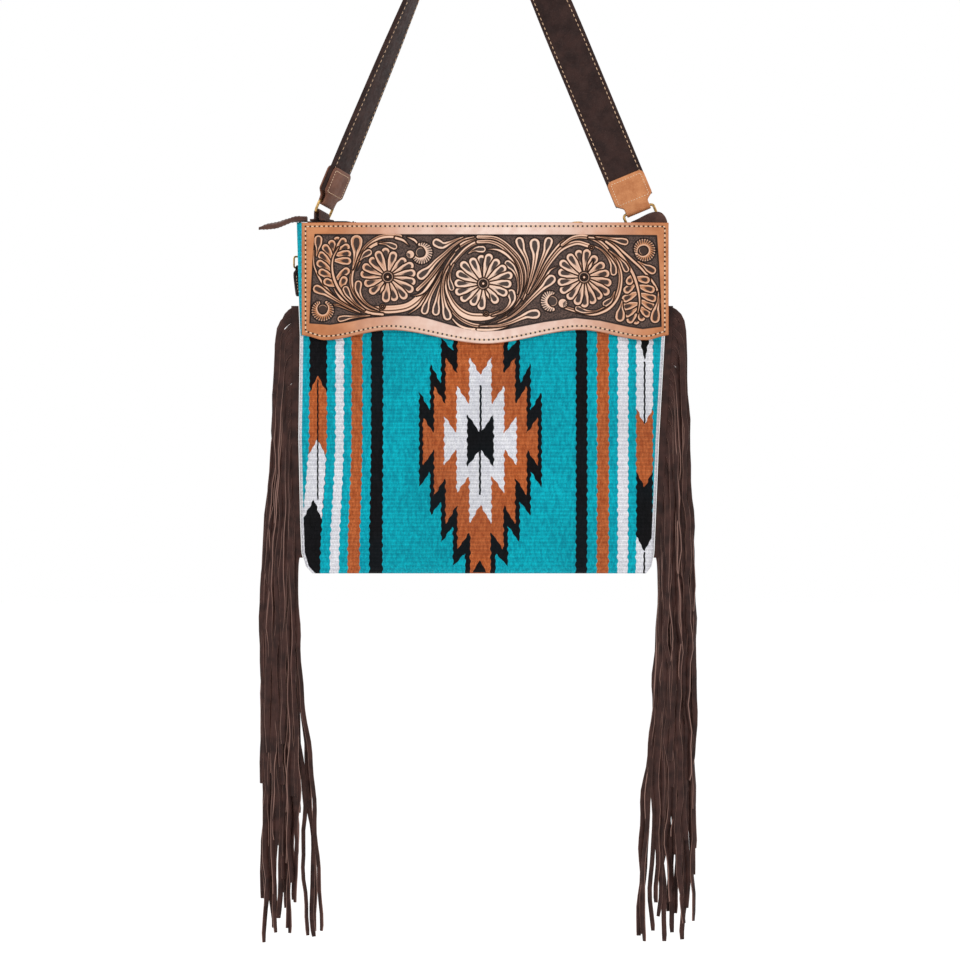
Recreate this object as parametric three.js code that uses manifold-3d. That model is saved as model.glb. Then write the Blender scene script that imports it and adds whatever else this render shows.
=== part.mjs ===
// Tooled shoulder bag, hanging from its strap. Millimetres, +Z up, front towards -Y, +X to the
// viewer's right. The origin is the underside of the strap's highest point, where the bag hangs.
import * as THREE from 'three';
import { mergeVertices } from 'three/addons/utils/BufferGeometryUtils.js';
import Module from 'manifold-3d';

const wasm = await Module();
wasm.setup();

// Gap left between pieces that touch
const CLEARANCE = 0.3;

// Body of woven cloth
const BAG_DROP = 338;
const BODY_HALF_WIDTH = 176;
const BODY_HEIGHT = 334;
const BODY_DEPTH = 34;
const CLOTH_THICKNESS = 3;
const BACK_RISE = 1.5;
const FOOT_POWER = 14;
const BODY_COLUMNS = 20;
const BODY_ROWS = 11;

// Body sections from the top down. Each holds its place as a share of the height, its reach to the
// left and right as shares of the half width, its depth as a share of the body's depth, and how
// square its sides are
const BODY_SECTIONS = [
  { down: 0.0, left: 1.0, right: 1.0, depth: 0.88, square: 12 },
  { down: 0.22, left: 0.988, right: 1.0, depth: 0.86, square: 8 },
  { down: 0.32, left: 0.98, right: 0.995, depth: 0.9, square: 6 },
  { down: 0.61, left: 0.988, right: 0.964, depth: 1.0, square: 6 },
  { down: 0.85, left: 0.978, right: 0.945, depth: 0.97, square: 6 },
  { down: 0.94, left: 0.972, right: 0.938, depth: 0.92, square: 6 },
  { down: 0.98, left: 0.95, right: 0.925, depth: 0.9, square: 6 },
  { down: 1.0, left: 0.915, right: 0.895, depth: 0.88, square: 6 },
];

// Tooled yoke over the upper front
const YOKE_HALF_WIDTH = 174.5;
const YOKE_SHIFT = 4;
const YOKE_DROP = 107;
const YOKE_THICKNESS = 3.2;
const YOKE_CURL = 0.3;
const YOKE_COLUMNS = 20;
const YOKE_ROWS = 3;
const TOOLING_DEPTH = 1.1;
const BORDER_WIDTH = 11.4;

// Lower edge of the yoke, from its middle outwards, as shares of its half width and of its drop
const YOKE_EDGE = [
  { out: 0.0, drop: 1.078 },
  { out: 0.52, drop: 0.955 },
  { out: 0.875, drop: 1.045 },
  { out: 1.0, drop: 0.998 },
];

// Raised tooling
const FLOWER_RADIUS = 26;
const FLOWER_LOBES = 8;
const FLOWER_SPACING = 93.5;
const FLOWER_DROP = 52.5;
const FLOWER_SAG = 5.5;
const SCROLL_RADIUS = 34;
const SCROLL_WIDTH = 3.4;
const LEAF_LENGTH = 46;
const LEAF_WIDTH = 30;
const LEAF_LOBES = 7;
const LEAF_OFFSET = 145;

// Zipped top. The band lies in a recess and rises to the body's edge at its left end only
const BAND_THICKNESS = 2;
const BAND_RECESS = 6;
const BAND_PROUD = 0.3;
const BAND_RISE_START = 0.6;
const BAND_RISE_END = 0.75;
const BAND_END_INSET = 5;
const TEETH_END_INSET = 38;
const TEETH_WIDTH = 5;
const TEETH_HEIGHT = 1.6;
const SLIDER_LENGTH = 13;
const SLIDER_WIDTH = 9;
const SLIDER_HEIGHT = 4;
const SLIDER_ACROSS = 0.52;
const TAIL_LENGTH = 46;
const TAIL_WIDTH = 22;
const TAIL_THICKNESS = 4.5;
const TAIL_OVERLAP = 10;
const TAIL_TIP_THICKNESS = 2.7;

// Slider body towards its wide end, as shares of its length, width and height
const SLIDER_SECTIONS = [
  { place: -0.5, width: 0.55, height: 0.5 },
  { place: -0.3, width: 0.75, height: 0.9 },
  { place: 0.1, width: 1.0, height: 1.0 },
  { place: 0.4, width: 0.95, height: 0.9 },
  { place: 0.5, width: 0.7, height: 0.6 },
];

// Tail from the band outwards: place, rise and width as shares, and lean of its face in degrees
const TAIL_SECTIONS = [
  { along: 0.0, rise: 0.0, width: 0.75, lean: 0 },
  { along: 0.24, rise: 0.0, width: 0.95, lean: 2 },
  { along: 0.42, rise: -0.05, width: 1.0, lean: 8 },
  { along: 0.62, rise: -0.12, width: 0.95, lean: 10 },
  { along: 0.85, rise: -0.155, width: 0.9, lean: 8 },
  { along: 1.0, rise: -0.19, width: 0.7, lean: 6 },
];

// Strap and its peg
const PEG_RADIUS = 19;
const STRAP_WIDTH = 37.3;
const STRAP_THICKNESS = 4;
const STRAP_SPREAD_DEGREES = 22.6;

// Turn of the strap about its own length, in degrees, by shares of each fall
const STRAP_TURNS = [
  { fall: 0.0, left: 0, right: 0 },
  { fall: 0.33, left: 10, right: 60 },
  { fall: 0.65, left: 19, right: 84 },
  { fall: 1.0, left: 24, right: 90 },
];

// Brass rings
const RING_INNER_WIDTH = 28;
const RING_INNER_HEIGHT = 9;
const RING_CORNER = 2.8;
const RING_WIRE = 2.6;
const BAR_LIFT = 6.9;

// Leather tabs folded round the rings
const TAB_PLY = 1.8;
const TAB_NECK_WIDTH = 24;
const TAB_NECK_LENGTH = 9.5;
const TAB_BODY_LENGTH = 25;
// Share of the neck's length at which its two plies start to close
const TAB_NECK_SHARE = 0.72;

// Leather saddles that hold the rings on the band
const ANCHOR_PLY = 2;
const ANCHOR_WIDTH = 22;
const ANCHOR_FOOT = 5;

// Fringes
const FRINGE_TOP_DOWN = 0.235;
const FRINGE_BOTTOM_DOWN = 0.955;
const FRINGE_REACH = 613;
const FRINGE_SPAN = 37;
const FRINGE_BOW = 13;
const FRINGE_BOW_DROP = 6;
const FRINGE_SETTLE = 300;
const FRINGE_LAYER = 5.5;
const FRINGE_SWAY = 2;
const FRINGE_STRAY = 16;
// The lowest thongs hang free of the bundle, with this sharpness of the step between the two
const STRAY_POWER = 12;
// Drops and shares of a thong's length at which it has a section
const THONG_STEPS = [0, 4, 12, 32];
const THONG_SHARES = [0.35, 0.7, 1];
// Drops over which a thong takes up its layer and its turn
const LAYER_DROP = 45;
const TURN_DROP = 60;
// Middle and spread of the thongs' turns, in degrees
const THONG_TURN = 20;
const THONG_TURN_SPREAD = 35;
const THONG_COUNT = 20;
const THONG_WIDTH = 4.6;
const THONG_THICKNESS = 1.8;
const HEAD_WIDTH = 7;
const HEAD_THICKNESS = 3;

// How far down each thong ends, as shares of the fringe's reach, repeated down the seam
const THONG_TIPS = [0.77, 0.724, 0.86, 0.902, 0.812, 0.93, 0.972, 0.85, 0.7, 0.87, 0.95, 0.753, 1.0];

// Zipper and pull of the back pocket
const POCKET_ACROSS = -0.97;
const POCKET_TOP_DOWN = 0.06;
const POCKET_SLIDER_DOWN = 0.095;
const POCKET_LENGTH = 230;
const POCKET_TAPE_WIDTH = 8;
const POCKET_TAPE_THICKNESS = 1.6;
const POCKET_SLIDER_LENGTH = 11;
const POCKET_SLIDER_WIDTH = 7;
const POCKET_SLIDER_HEIGHT = 3;
const POCKET_RING_HALF_WIDTH = 6.5;
const POCKET_RING_HALF_HEIGHT = 5.5;
const POCKET_RING_CORNER = 2.2;
const POCKET_RING_WIRE = 1.8;
const PULL_LENGTH = 27;
const PULL_WIDTH = 13;
const PULL_PLY = 1.5;

// Plies of the pull from the ring down, as shares, and how far they still stand open
const PULL_SECTIONS = [
  { down: 0.05, width: 0.58, open: 1.0 },
  { down: 0.2, width: 1.0, open: 0.1 },
  { down: 0.6, width: 0.85, open: 0.0 },
  { down: 1.0, width: 0.6, open: 0.0 },
];

const CLOTH = new THREE.MeshStandardMaterial({ color: 0x00aab9, roughness: 0.95 });
const TAN_LEATHER = new THREE.MeshStandardMaterial({ color: 0xb8794f, roughness: 0.6 });
const DARK_LEATHER = new THREE.MeshStandardMaterial({ color: 0x3e2a26, roughness: 0.75 });
const ZIP_BLACK = new THREE.MeshStandardMaterial({ color: 0x16151a, roughness: 0.5 });
const BRASS = new THREE.MeshStandardMaterial({ color: 0x8f7a45, roughness: 0.35, metalness: 1 });

const BACKWARDS = new THREE.Vector3(0, 1, 0);
const UPWARDS = new THREE.Vector3(0, 0, 1);
const RIGHTWARDS = new THREE.Vector3(1, 0, 0);

const bag = new THREE.Group();

function addPiece(name, geometry, material) {
  geometry.computeVertexNormals();
  const mesh = new THREE.Mesh(geometry, material);
  mesh.name = name;
  bag.add(mesh);
}

// Value of a table's column at a place along its key column
function lookUp(table, key, place, column, ease = (t) => t) {
  const last = table.length - 1;
  if (place <= table[0][key]) {
    return table[0][column];
  }
  for (let i = 0; i < last; i += 1) {
    const a = table[i];
    const b = table[i + 1];
    if (place <= b[key]) {
      const t = ease((place - a[key]) / (b[key] - a[key]));
      return a[column] + (b[column] - a[column]) * t;
    }
  }
  return table[last][column];
}

function smooth(t) {
  return t * t * (3 - 2 * t);
}

// Evenly numbered places from -1 to 1, closer together towards both ends
function spreadPlaces(count) {
  return Array.from({ length: count + 1 }, (_, i) => Math.sin((Math.PI / 2) * ((2 * i) / count - 1)));
}

// Evenly numbered places from 0 to 1, closer together towards the far end
function endPlaces(count) {
  return Array.from({ length: count + 1 }, (_, i) => Math.sin((Math.PI / 2) * (i / count)));
}

function meshFrom(points, faces) {
  const geometry = new THREE.BufferGeometry();
  const positions = points.flatMap((p) => [p.x, p.y, p.z]);
  geometry.setAttribute('position', new THREE.Float32BufferAttribute(positions, 3));
  const isInsideOut = signedVolume(points, faces) < 0;
  geometry.setIndex(faces.flatMap(([a, b, c]) => (isInsideOut ? [a, c, b] : [a, b, c])));
  return geometry;
}

function signedVolume(points, faces) {
  let volume = 0;
  for (const [a, b, c] of faces) {
    volume += points[a].dot(new THREE.Vector3().crossVectors(points[b], points[c])) / 6;
  }
  return volume;
}

// Closed solid through sections that all have the same number of corners
function loft(sections, isRing = false) {
  const corners = sections[0].length;
  const points = sections.flat();
  const faces = [];
  const spans = isRing ? sections.length : sections.length - 1;
  for (let i = 0; i < spans; i += 1) {
    const here = i * corners;
    const next = ((i + 1) % sections.length) * corners;
    for (let j = 0; j < corners; j += 1) {
      const k = (j + 1) % corners;
      faces.push([here + j, next + j, next + k], [here + j, next + k, here + k]);
    }
  }
  if (!isRing) {
    const end = spans * corners;
    for (let j = 1; j < corners - 1; j += 1) {
      faces.push([0, j, j + 1], [end, end + j + 1, end + j]);
    }
  }
  return meshFrom(points, faces);
}

// Closed sheet between two grids of points, rows by columns
function sheet(outer, inner) {
  const rows = outer.length;
  const columns = outer[0].length;
  const points = [...outer.flat(), ...inner.flat()];
  const back = rows * columns;
  const faces = [];
  const quad = (a, b, c, d) => faces.push([a, b, c], [a, c, d]);
  for (let r = 0; r < rows - 1; r += 1) {
    for (let c = 0; c < columns - 1; c += 1) {
      const a = r * columns + c;
      const b = a + columns;
      quad(a, b, b + 1, a + 1);
      quad(back + a, back + a + 1, back + b + 1, back + b);
    }
  }
  const rim = [];
  for (let c = 0; c < columns - 1; c += 1) {
    rim.push(c);
  }
  for (let r = 0; r < rows - 1; r += 1) {
    rim.push(r * columns + columns - 1);
  }
  for (let c = columns - 1; c > 0; c -= 1) {
    rim.push((rows - 1) * columns + c);
  }
  for (let r = rows - 1; r > 0; r -= 1) {
    rim.push(r * columns);
  }
  rim.forEach((a, i) => {
    const b = rim[(i + 1) % rim.length];
    quad(a, b, back + b, back + a);
  });
  return meshFrom(points, faces);
}

// Flat strip through stations that each hold a centre, a width direction, a normal and two sizes
function strip(stations) {
  return loft(stations.map(({ centre, across, normal, width, thickness }) => {
    const w = across.clone().normalize().multiplyScalar(width / 2);
    const n = normal.clone().normalize().multiplyScalar(thickness / 2);
    return [
      centre.clone().add(w).add(n),
      centre.clone().sub(w).add(n),
      centre.clone().sub(w).sub(n),
      centre.clone().add(w).sub(n),
    ];
  }));
}

// Wire bent round a rounded rectangle that lies in the plane of two directions
function wireRing(centre, across, along, halfWidth, halfHeight, corner, wire) {
  const cornerSteps = 3;
  const sides = wire > 2 ? 8 : 6;
  const normal = new THREE.Vector3().crossVectors(across, along).normalize();
  const sections = [];
  [[1, 1, 0], [-1, 1, 90], [-1, -1, 180], [1, -1, 270]].forEach(([sx, sy, start]) => {
    for (let i = 0; i <= cornerSteps; i += 1) {
      const turn = THREE.MathUtils.degToRad(start + (90 * i) / cornerSteps);
      const outwards = across.clone().multiplyScalar(Math.cos(turn)).addScaledVector(along, Math.sin(turn));
      const middle = centre.clone()
        .addScaledVector(across, sx * (halfWidth - corner))
        .addScaledVector(along, sy * (halfHeight - corner))
        .addScaledVector(outwards, corner);
      sections.push(Array.from({ length: sides }, (_, k) => {
        const spin = (2 * Math.PI * k) / sides;
        return middle.clone()
          .addScaledVector(outwards, (wire / 2) * Math.cos(spin))
          .addScaledVector(normal, (wire / 2) * Math.sin(spin));
      }));
    }
  });
  return loft(sections, true);
}

function toSolid(geometry) {
  const bare = geometry.index ? geometry.clone() : geometry;
  bare.deleteAttribute('normal');
  bare.deleteAttribute('uv');
  const merged = mergeVertices(bare, 1e-4);
  return new wasm.Manifold(new wasm.Mesh({
    numProp: 3,
    vertProperties: new Float32Array(merged.attributes.position.array),
    triVerts: new Uint32Array(merged.index.array),
  }));
}

function toGeometry(solid) {
  const mesh = solid.getMesh();
  const geometry = new THREE.BufferGeometry();
  geometry.setAttribute('position', new THREE.BufferAttribute(new Float32Array(mesh.vertProperties), 3));
  geometry.setIndex(new THREE.BufferAttribute(new Uint32Array(mesh.triVerts), 1));
  return geometry;
}

function joinAll(solids) {
  return solids.reduce((whole, next) => whole.add(next));
}

// Body

function bodyReach(down, inset = 0) {
  const left = lookUp(BODY_SECTIONS, 'down', down, 'left') * BODY_HALF_WIDTH - inset;
  const right = lookUp(BODY_SECTIONS, 'down', down, 'right') * BODY_HALF_WIDTH - inset;
  return { middle: (right - left) / 2, half: (right + left) / 2 };
}

// Distance of the cloth's surface from the seam plane, less an inset
function bodyBulge(across, down, inset = 0) {
  const share = lookUp(BODY_SECTIONS, 'down', down, 'depth');
  const square = lookUp(BODY_SECTIONS, 'down', down, 'square');
  const fullest = (BODY_DEPTH / 2) * share - CLEARANCE / 2 - inset;
  const sideways = Math.sqrt(Math.max(0, 1 - Math.abs(across) ** square));
  const downwards = Math.sqrt(Math.max(0, 1 - down ** FOOT_POWER));
  return fullest * sideways * downwards;
}

// Point on the body. Side is -1 for the front and 1 for the back
function bodyPoint(side, across, down, inset = 0) {
  const { middle, half } = bodyReach(down, inset);
  const rise = side > 0 ? BACK_RISE * (1 - down) : 0;
  return new THREE.Vector3(
    middle + across * half,
    side * (CLEARANCE / 2 + bodyBulge(across, down, inset)),
    -BAG_DROP + rise - down * (BODY_HEIGHT + rise - inset),
  );
}

function panel(side) {
  const grid = (inset) => endPlaces(BODY_ROWS).map((down) => (
    spreadPlaces(BODY_COLUMNS).map((across) => bodyPoint(side, across, down, inset))));
  return sheet(grid(0), grid(CLOTH_THICKNESS));
}

// Yoke

function yokeDrop(out) {
  return YOKE_DROP * lookUp(YOKE_EDGE, 'out', Math.abs(out), 'drop', smooth);
}

// Depth of the yoke's hidden face in front of the seam plane, lying on the cloth
function yokeSeat(x, drop) {
  const down = drop / BODY_HEIGHT;
  const { middle, half } = bodyReach(down);
  const across = THREE.MathUtils.clamp((x - middle) / half, -1, 1);
  const out = Math.abs(x - YOKE_SHIFT) / YOKE_HALF_WIDTH;
  const flat = bodyBulge(0, down) * (1 - YOKE_CURL * out ** 6);
  return CLEARANCE / 2 + Math.max(bodyBulge(across, down), flat) + CLEARANCE;
}

function yokeSheet(thickness) {
  const places = spreadPlaces(YOKE_COLUMNS);
  const grid = (lift) => Array.from({ length: YOKE_ROWS + 1 }, (_, r) => places.map((out) => {
    const x = YOKE_SHIFT + out * YOKE_HALF_WIDTH;
    const drop = (yokeDrop(out) * r) / YOKE_ROWS;
    return new THREE.Vector3(x, -(yokeSeat(x, drop) + lift), -BAG_DROP - drop);
  }));
  return toSolid(sheet(grid(thickness), grid(0)));
}

// Solid that runs through the yoke under an outline drawn from the yoke's top middle
function yokePrism(outline) {
  const geometry = new THREE.ExtrudeGeometry(outline, {
    depth: BODY_DEPTH * 2,
    bevelEnabled: false,
    curveSegments: 12,
  });
  geometry.rotateX(Math.PI / 2);
  geometry.translate(YOKE_SHIFT, 0, -BAG_DROP);
  return toSolid(geometry);
}

// Carved field inside the plain border
function fieldOutline() {
  const side = YOKE_HALF_WIDTH - BORDER_WIDTH;
  const steps = 18;
  const points = [new THREE.Vector2(side, -BORDER_WIDTH), new THREE.Vector2(-side, -BORDER_WIDTH)];
  for (let i = 0; i <= steps; i += 1) {
    const x = side * ((2 * i) / steps - 1);
    points.push(new THREE.Vector2(x, BORDER_WIDTH - yokeDrop(x / YOKE_HALF_WIDTH)));
  }
  return new THREE.Shape(points);
}

function flowerOutline(x, y) {
  const steps = FLOWER_LOBES * 4;
  return new THREE.Shape(Array.from({ length: steps }, (_, i) => {
    const turn = (2 * Math.PI * i) / steps;
    const radius = FLOWER_RADIUS * (0.84 + 0.16 * Math.abs(Math.sin((FLOWER_LOBES * turn) / 2)));
    return new THREE.Vector2(x + radius * Math.cos(turn), y + radius * Math.sin(turn));
  }));
}

function scrollOutline(x, y, startDegrees) {
  const start = THREE.MathUtils.degToRad(startDegrees);
  const sweep = THREE.MathUtils.degToRad(250);
  const shape = new THREE.Shape();
  shape.absarc(x, y, SCROLL_RADIUS + SCROLL_WIDTH / 2, start, start + sweep, false);
  shape.absarc(x, y, SCROLL_RADIUS - SCROLL_WIDTH / 2, start + sweep, start, true);
  return shape;
}

function leafOutline(x, y, leanDegrees) {
  const lean = THREE.MathUtils.degToRad(leanDegrees);
  const steps = LEAF_LOBES * 4;
  return new THREE.Shape(Array.from({ length: steps }, (_, i) => {
    const turn = (2 * Math.PI * i) / steps;
    const lobe = 0.86 + 0.14 * Math.abs(Math.sin((LEAF_LOBES * turn) / 2));
    const a = (LEAF_WIDTH / 2) * lobe * Math.cos(turn);
    const b = (LEAF_LENGTH / 2) * lobe * Math.sin(turn);
    return new THREE.Vector2(
      x + a * Math.cos(lean) - b * Math.sin(lean),
      y + a * Math.sin(lean) + b * Math.cos(lean),
    );
  }));
}

function tooledYoke() {
  const low = yokeSheet(YOKE_THICKNESS - TOOLING_DEPTH);
  const high = yokeSheet(YOKE_THICKNESS);
  const border = high.subtract(yokePrism(fieldOutline()));
  const flowers = [-1, 0, 1].map((place) => ({
    x: place * FLOWER_SPACING,
    y: -(FLOWER_DROP + FLOWER_SAG * (1 - Math.abs(place))),
    start: 20 + 180 * Math.abs(place),
  }));
  const motifs = [
    ...flowers.map(({ x, y }) => flowerOutline(x, y)),
    ...flowers.map(({ x, y, start }) => scrollOutline(x, y, start)),
    leafOutline(-LEAF_OFFSET, -FLOWER_DROP + LEAF_WIDTH / 2, 10),
    leafOutline(LEAF_OFFSET, -FLOWER_DROP - LEAF_WIDTH / 2, 10),
  ];
  const raised = joinAll(motifs.map(yokePrism)).intersect(high);
  return toGeometry(low.add(border).add(raised));
}

// Strap and the places along it

const spread = THREE.MathUtils.degToRad(STRAP_SPREAD_DEGREES);
const loopRadius = PEG_RADIUS + STRAP_THICKNESS / 2;
// Height above the origin at which the two falls of the strap would meet
const fallsMeet = loopRadius / Math.sin(spread) - PEG_RADIUS;
const bandEndTop = -BAG_DROP + BACK_RISE + BAND_PROUD;
const barOffset = (RING_INNER_HEIGHT + RING_WIRE) / 2;
const fallStart = loopRadius / Math.tan(spread);

// Height of the band's top under a ring
function bandTopUnder(side) {
  return side < 0 ? bandEndTop : bandEndTop - BAND_RECESS;
}

// Distance down a fall to the middle of its ring
function ringDistance(side) {
  const height = bandTopUnder(side) + BAR_LIFT + barOffset * Math.cos(spread);
  return (fallsMeet - height) / Math.cos(spread);
}

function strapEnd(side) {
  return ringDistance(side) - barOffset - TAB_NECK_LENGTH;
}

// Directions of the strap, from its lean off the vertical and the turn about its own length. Side
// is -1 for the left fall and 1 for the right
function strapFrame(side, turnDegrees, lean = spread) {
  const turn = THREE.MathUtils.degToRad(turnDegrees);
  const along = new THREE.Vector3(side * Math.sin(lean), 0, -Math.cos(lean));
  const normal = new THREE.Vector3(-side * Math.cos(lean), 0, -Math.sin(lean))
    .multiplyScalar(Math.cos(turn))
    .addScaledVector(BACKWARDS, -Math.sin(turn));
  const across = new THREE.Vector3().crossVectors(along, normal).multiplyScalar(side);
  return { along, normal, across };
}

function onFall(side, distance) {
  return new THREE.Vector3(side * distance * Math.sin(spread), 0, fallsMeet - distance * Math.cos(spread));
}

// The strap has stopped turning well above its tab
function strapTurn(side, distance) {
  const turning = strapEnd(side) - 2 * TAB_BODY_LENGTH - fallStart;
  const share = (distance - fallStart) / turning;
  return lookUp(STRAP_TURNS, 'fall', share, side < 0 ? 'left' : 'right');
}

// Stations of the strap from just past its highest point down one side
function strapStations(side) {
  const arcSteps = 5;
  const fallSteps = 16;
  const station = (centre, { normal, across }) => (
    { centre, normal, across, width: STRAP_WIDTH, thickness: STRAP_THICKNESS });
  const stations = [];
  for (let i = 1; i < arcSteps; i += 1) {
    const lean = Math.PI / 2 - ((Math.PI / 2 - spread) * i) / arcSteps;
    const x = side * loopRadius * Math.cos(lean);
    const z = loopRadius * Math.sin(lean) - PEG_RADIUS;
    stations.push(station(new THREE.Vector3(x, 0, z), strapFrame(side, 0, lean)));
  }
  for (let i = 0; i <= fallSteps; i += 1) {
    const distance = fallStart + ((strapEnd(side) - fallStart) * i) / fallSteps;
    stations.push(station(onFall(side, distance), strapFrame(side, strapTurn(side, distance))));
  }
  return stations;
}

function strap() {
  const apex = {
    centre: new THREE.Vector3(0, 0, STRAP_THICKNESS / 2),
    normal: UPWARDS,
    across: BACKWARDS,
    width: STRAP_WIDTH,
    thickness: STRAP_THICKNESS,
  };
  const right = strapStations(1);
  const left = strapStations(-1).reverse();
  const upright = (stations) => stations.map((s) => ({ ...s, normal: s.normal.clone().negate() }));
  return strip([...upright(left), apex, ...upright(right)]);
}

// Strip folded through a path in one plane. Each step of the path holds its distance along two
// directions and its width
function fold(path, origin, first, second, across, thickness) {
  return strip(path.map(({ a, b, width }, i) => {
    const before = path[Math.max(0, i - 1)];
    const after = path[Math.min(path.length - 1, i + 1)];
    const normal = first.clone().multiplyScalar(before.b - after.b)
      .addScaledVector(second, after.a - before.a);
    const centre = origin.clone().addScaledVector(first, a).addScaledVector(second, b);
    return { centre, across, normal, width, thickness };
  }));
}

// Half circle of a fold about the origin, from one side over the far end to the other
function foldBend(radius, width, steps = 6) {
  return Array.from({ length: steps + 1 }, (_, i) => {
    const turn = (Math.PI * i) / steps;
    return { a: -radius * Math.sin(turn), b: radius * Math.cos(turn), width };
  });
}

function strapTab(side) {
  const { along, normal, across } = strapFrame(side, strapTurn(side, strapEnd(side)));
  const bar = onFall(side, ringDistance(side) - barOffset);
  const flat = STRAP_THICKNESS / 2 + CLEARANCE + TAB_PLY / 2;
  const bend = RING_WIRE / 2 + CLEARANCE + TAB_PLY / 2;
  const neck = TAB_NECK_LENGTH * TAB_NECK_SHARE;
  const ply = [
    { a: TAB_NECK_LENGTH + TAB_BODY_LENGTH, b: flat, width: STRAP_WIDTH },
    { a: TAB_NECK_LENGTH, b: flat, width: STRAP_WIDTH },
    { a: neck, b: (flat + bend) / 2, width: TAB_NECK_WIDTH },
  ];
  const farPly = ply.map(({ a, b, width }) => ({ a, b: -b, width })).reverse();
  const path = [...ply, ...foldBend(bend, TAB_NECK_WIDTH), ...farPly];
  return fold(path, bar, along.clone().negate(), normal, across, TAB_PLY);
}

function strapRing(side) {
  const { along, across } = strapFrame(side, strapTurn(side, strapEnd(side)));
  const centre = onFall(side, ringDistance(side));
  const halfWidth = (RING_INNER_WIDTH + RING_WIRE) / 2;
  return wireRing(centre, across, along, halfWidth, barOffset, RING_CORNER, RING_WIRE);
}

// Leather saddle over the ring's lower bar, with its two feet flat on the band
function ringAnchor(side) {
  const { across } = strapFrame(side, strapTurn(side, strapEnd(side)));
  const bar = onFall(side, ringDistance(side) + barOffset);
  const level = new THREE.Vector3(across.x, across.y, 0).normalize();
  const sideways = new THREE.Vector3().crossVectors(UPWARDS, level);
  const bend = RING_WIRE / 2 + CLEARANCE + ANCHOR_PLY / 2;
  const footHeight = bandTopUnder(side) + CLEARANCE + ANCHOR_PLY / 2 - bar.z;
  const half = [
    { a: footHeight, b: bend + ANCHOR_FOOT, tilt: 0, nA: 1, nB: 0 },
    { a: footHeight, b: bend + 1, tilt: 0, nA: 0.9, nB: 0.4 },
    { a: footHeight + 1.2, b: bend, tilt: 0.2, nA: 0.3, nB: 1 },
    { a: 0, b: bend, tilt: 1, nA: 0, nB: 1 },
  ];
  const crown = [30, 60].map((degrees) => {
    const nA = Math.sin(THREE.MathUtils.degToRad(degrees));
    const nB = Math.cos(THREE.MathUtils.degToRad(degrees));
    return { a: bend * nA, b: bend * nB, tilt: 1, nA, nB };
  });
  const near = [...half, ...crown];
  const far = near.map((s) => ({ ...s, b: -s.b, nB: -s.nB })).reverse();
  const path = [...near, { a: bend, b: 0, tilt: 1, nA: 1, nB: 0 }, ...far];
  return strip(path.map(({ a, b, tilt, nA, nB }) => {
    const line = level.clone().lerp(across, tilt).normalize();
    const up = new THREE.Vector3().crossVectors(level, sideways)
      .lerp(new THREE.Vector3().crossVectors(across, sideways), tilt)
      .normalize();
    const rise = up.z < 0 ? up.negate() : up;
    return {
      centre: bar.clone().addScaledVector(rise, a).addScaledVector(sideways, b),
      across: line,
      normal: rise.clone().multiplyScalar(nA).addScaledVector(sideways, nB),
      width: ANCHOR_WIDTH,
      thickness: ANCHOR_PLY,
    };
  }));
}

// Zipped top

function bandHeight(across) {
  const rise = THREE.MathUtils.smoothstep(-across, BAND_RISE_START, BAND_RISE_END);
  return bandEndTop - BAND_RECESS * (1 - rise);
}

function acrossAt(x) {
  const { middle, half } = bodyReach(0);
  return (x - middle) / half;
}

// Level strip along the top, over the body's columns that lie inside an inset from its ends
function topStrip(inset, widthAt, lift, thickness) {
  const { middle, half } = bodyReach(0, CLOTH_THICKNESS);
  return strip(spreadPlaces(BODY_COLUMNS)
    .filter((across) => Math.abs(across) * half < half - inset)
    .map((across) => ({
      centre: new THREE.Vector3(middle + across * half, 0, bandHeight(across) + lift + thickness / 2),
      across: BACKWARDS,
      normal: UPWARDS,
      width: widthAt(across),
      thickness,
    })));
}

function zipperBand() {
  const widthAt = (across) => 2 * (bodyBulge(across, 0, CLOTH_THICKNESS) - 1.5 * CLEARANCE);
  return topStrip(BAND_END_INSET, widthAt, -BAND_THICKNESS, BAND_THICKNESS);
}

function zipperTeeth() {
  return topStrip(TEETH_END_INSET, () => TEETH_WIDTH, CLEARANCE, TEETH_HEIGHT);
}

// Slider body, wide at the end it closes towards
function sliderBody(length, width, height, origin, along, normal) {
  const across = new THREE.Vector3().crossVectors(normal, along);
  return strip(SLIDER_SECTIONS.map((row) => ({
    centre: origin.clone().addScaledVector(along, row.place * length)
      .addScaledVector(normal, (row.height * height) / 2),
    across,
    normal,
    width: row.width * width,
    thickness: row.height * height,
  })));
}

function zipperSlider() {
  const x = SLIDER_ACROSS * BODY_HALF_WIDTH;
  const z = bandHeight(acrossAt(x)) + 2 * CLEARANCE + TEETH_HEIGHT;
  return sliderBody(SLIDER_LENGTH, SLIDER_WIDTH, SLIDER_HEIGHT,
    new THREE.Vector3(x, 0, z), RIGHTWARDS, UPWARDS);
}

function zipperTail() {
  const { middle, half } = bodyReach(0);
  const start = middle - half + TAIL_OVERLAP;
  const level = bandEndTop + CLEARANCE + TAIL_THICKNESS / 2;
  return strip(TAIL_SECTIONS.map(({ along, rise, width, lean }) => {
    const tilt = THREE.MathUtils.degToRad(lean);
    return {
      centre: new THREE.Vector3(start - along * TAIL_LENGTH, 0, level + rise * TAIL_LENGTH),
      across: new THREE.Vector3(0, Math.cos(tilt), Math.sin(tilt)),
      normal: new THREE.Vector3(0, -Math.sin(tilt), Math.cos(tilt)),
      width: width * TAIL_WIDTH,
      thickness: along === 1 ? TAIL_TIP_THICKNESS : TAIL_THICKNESS,
    };
  }));
}

// Back pocket

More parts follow.
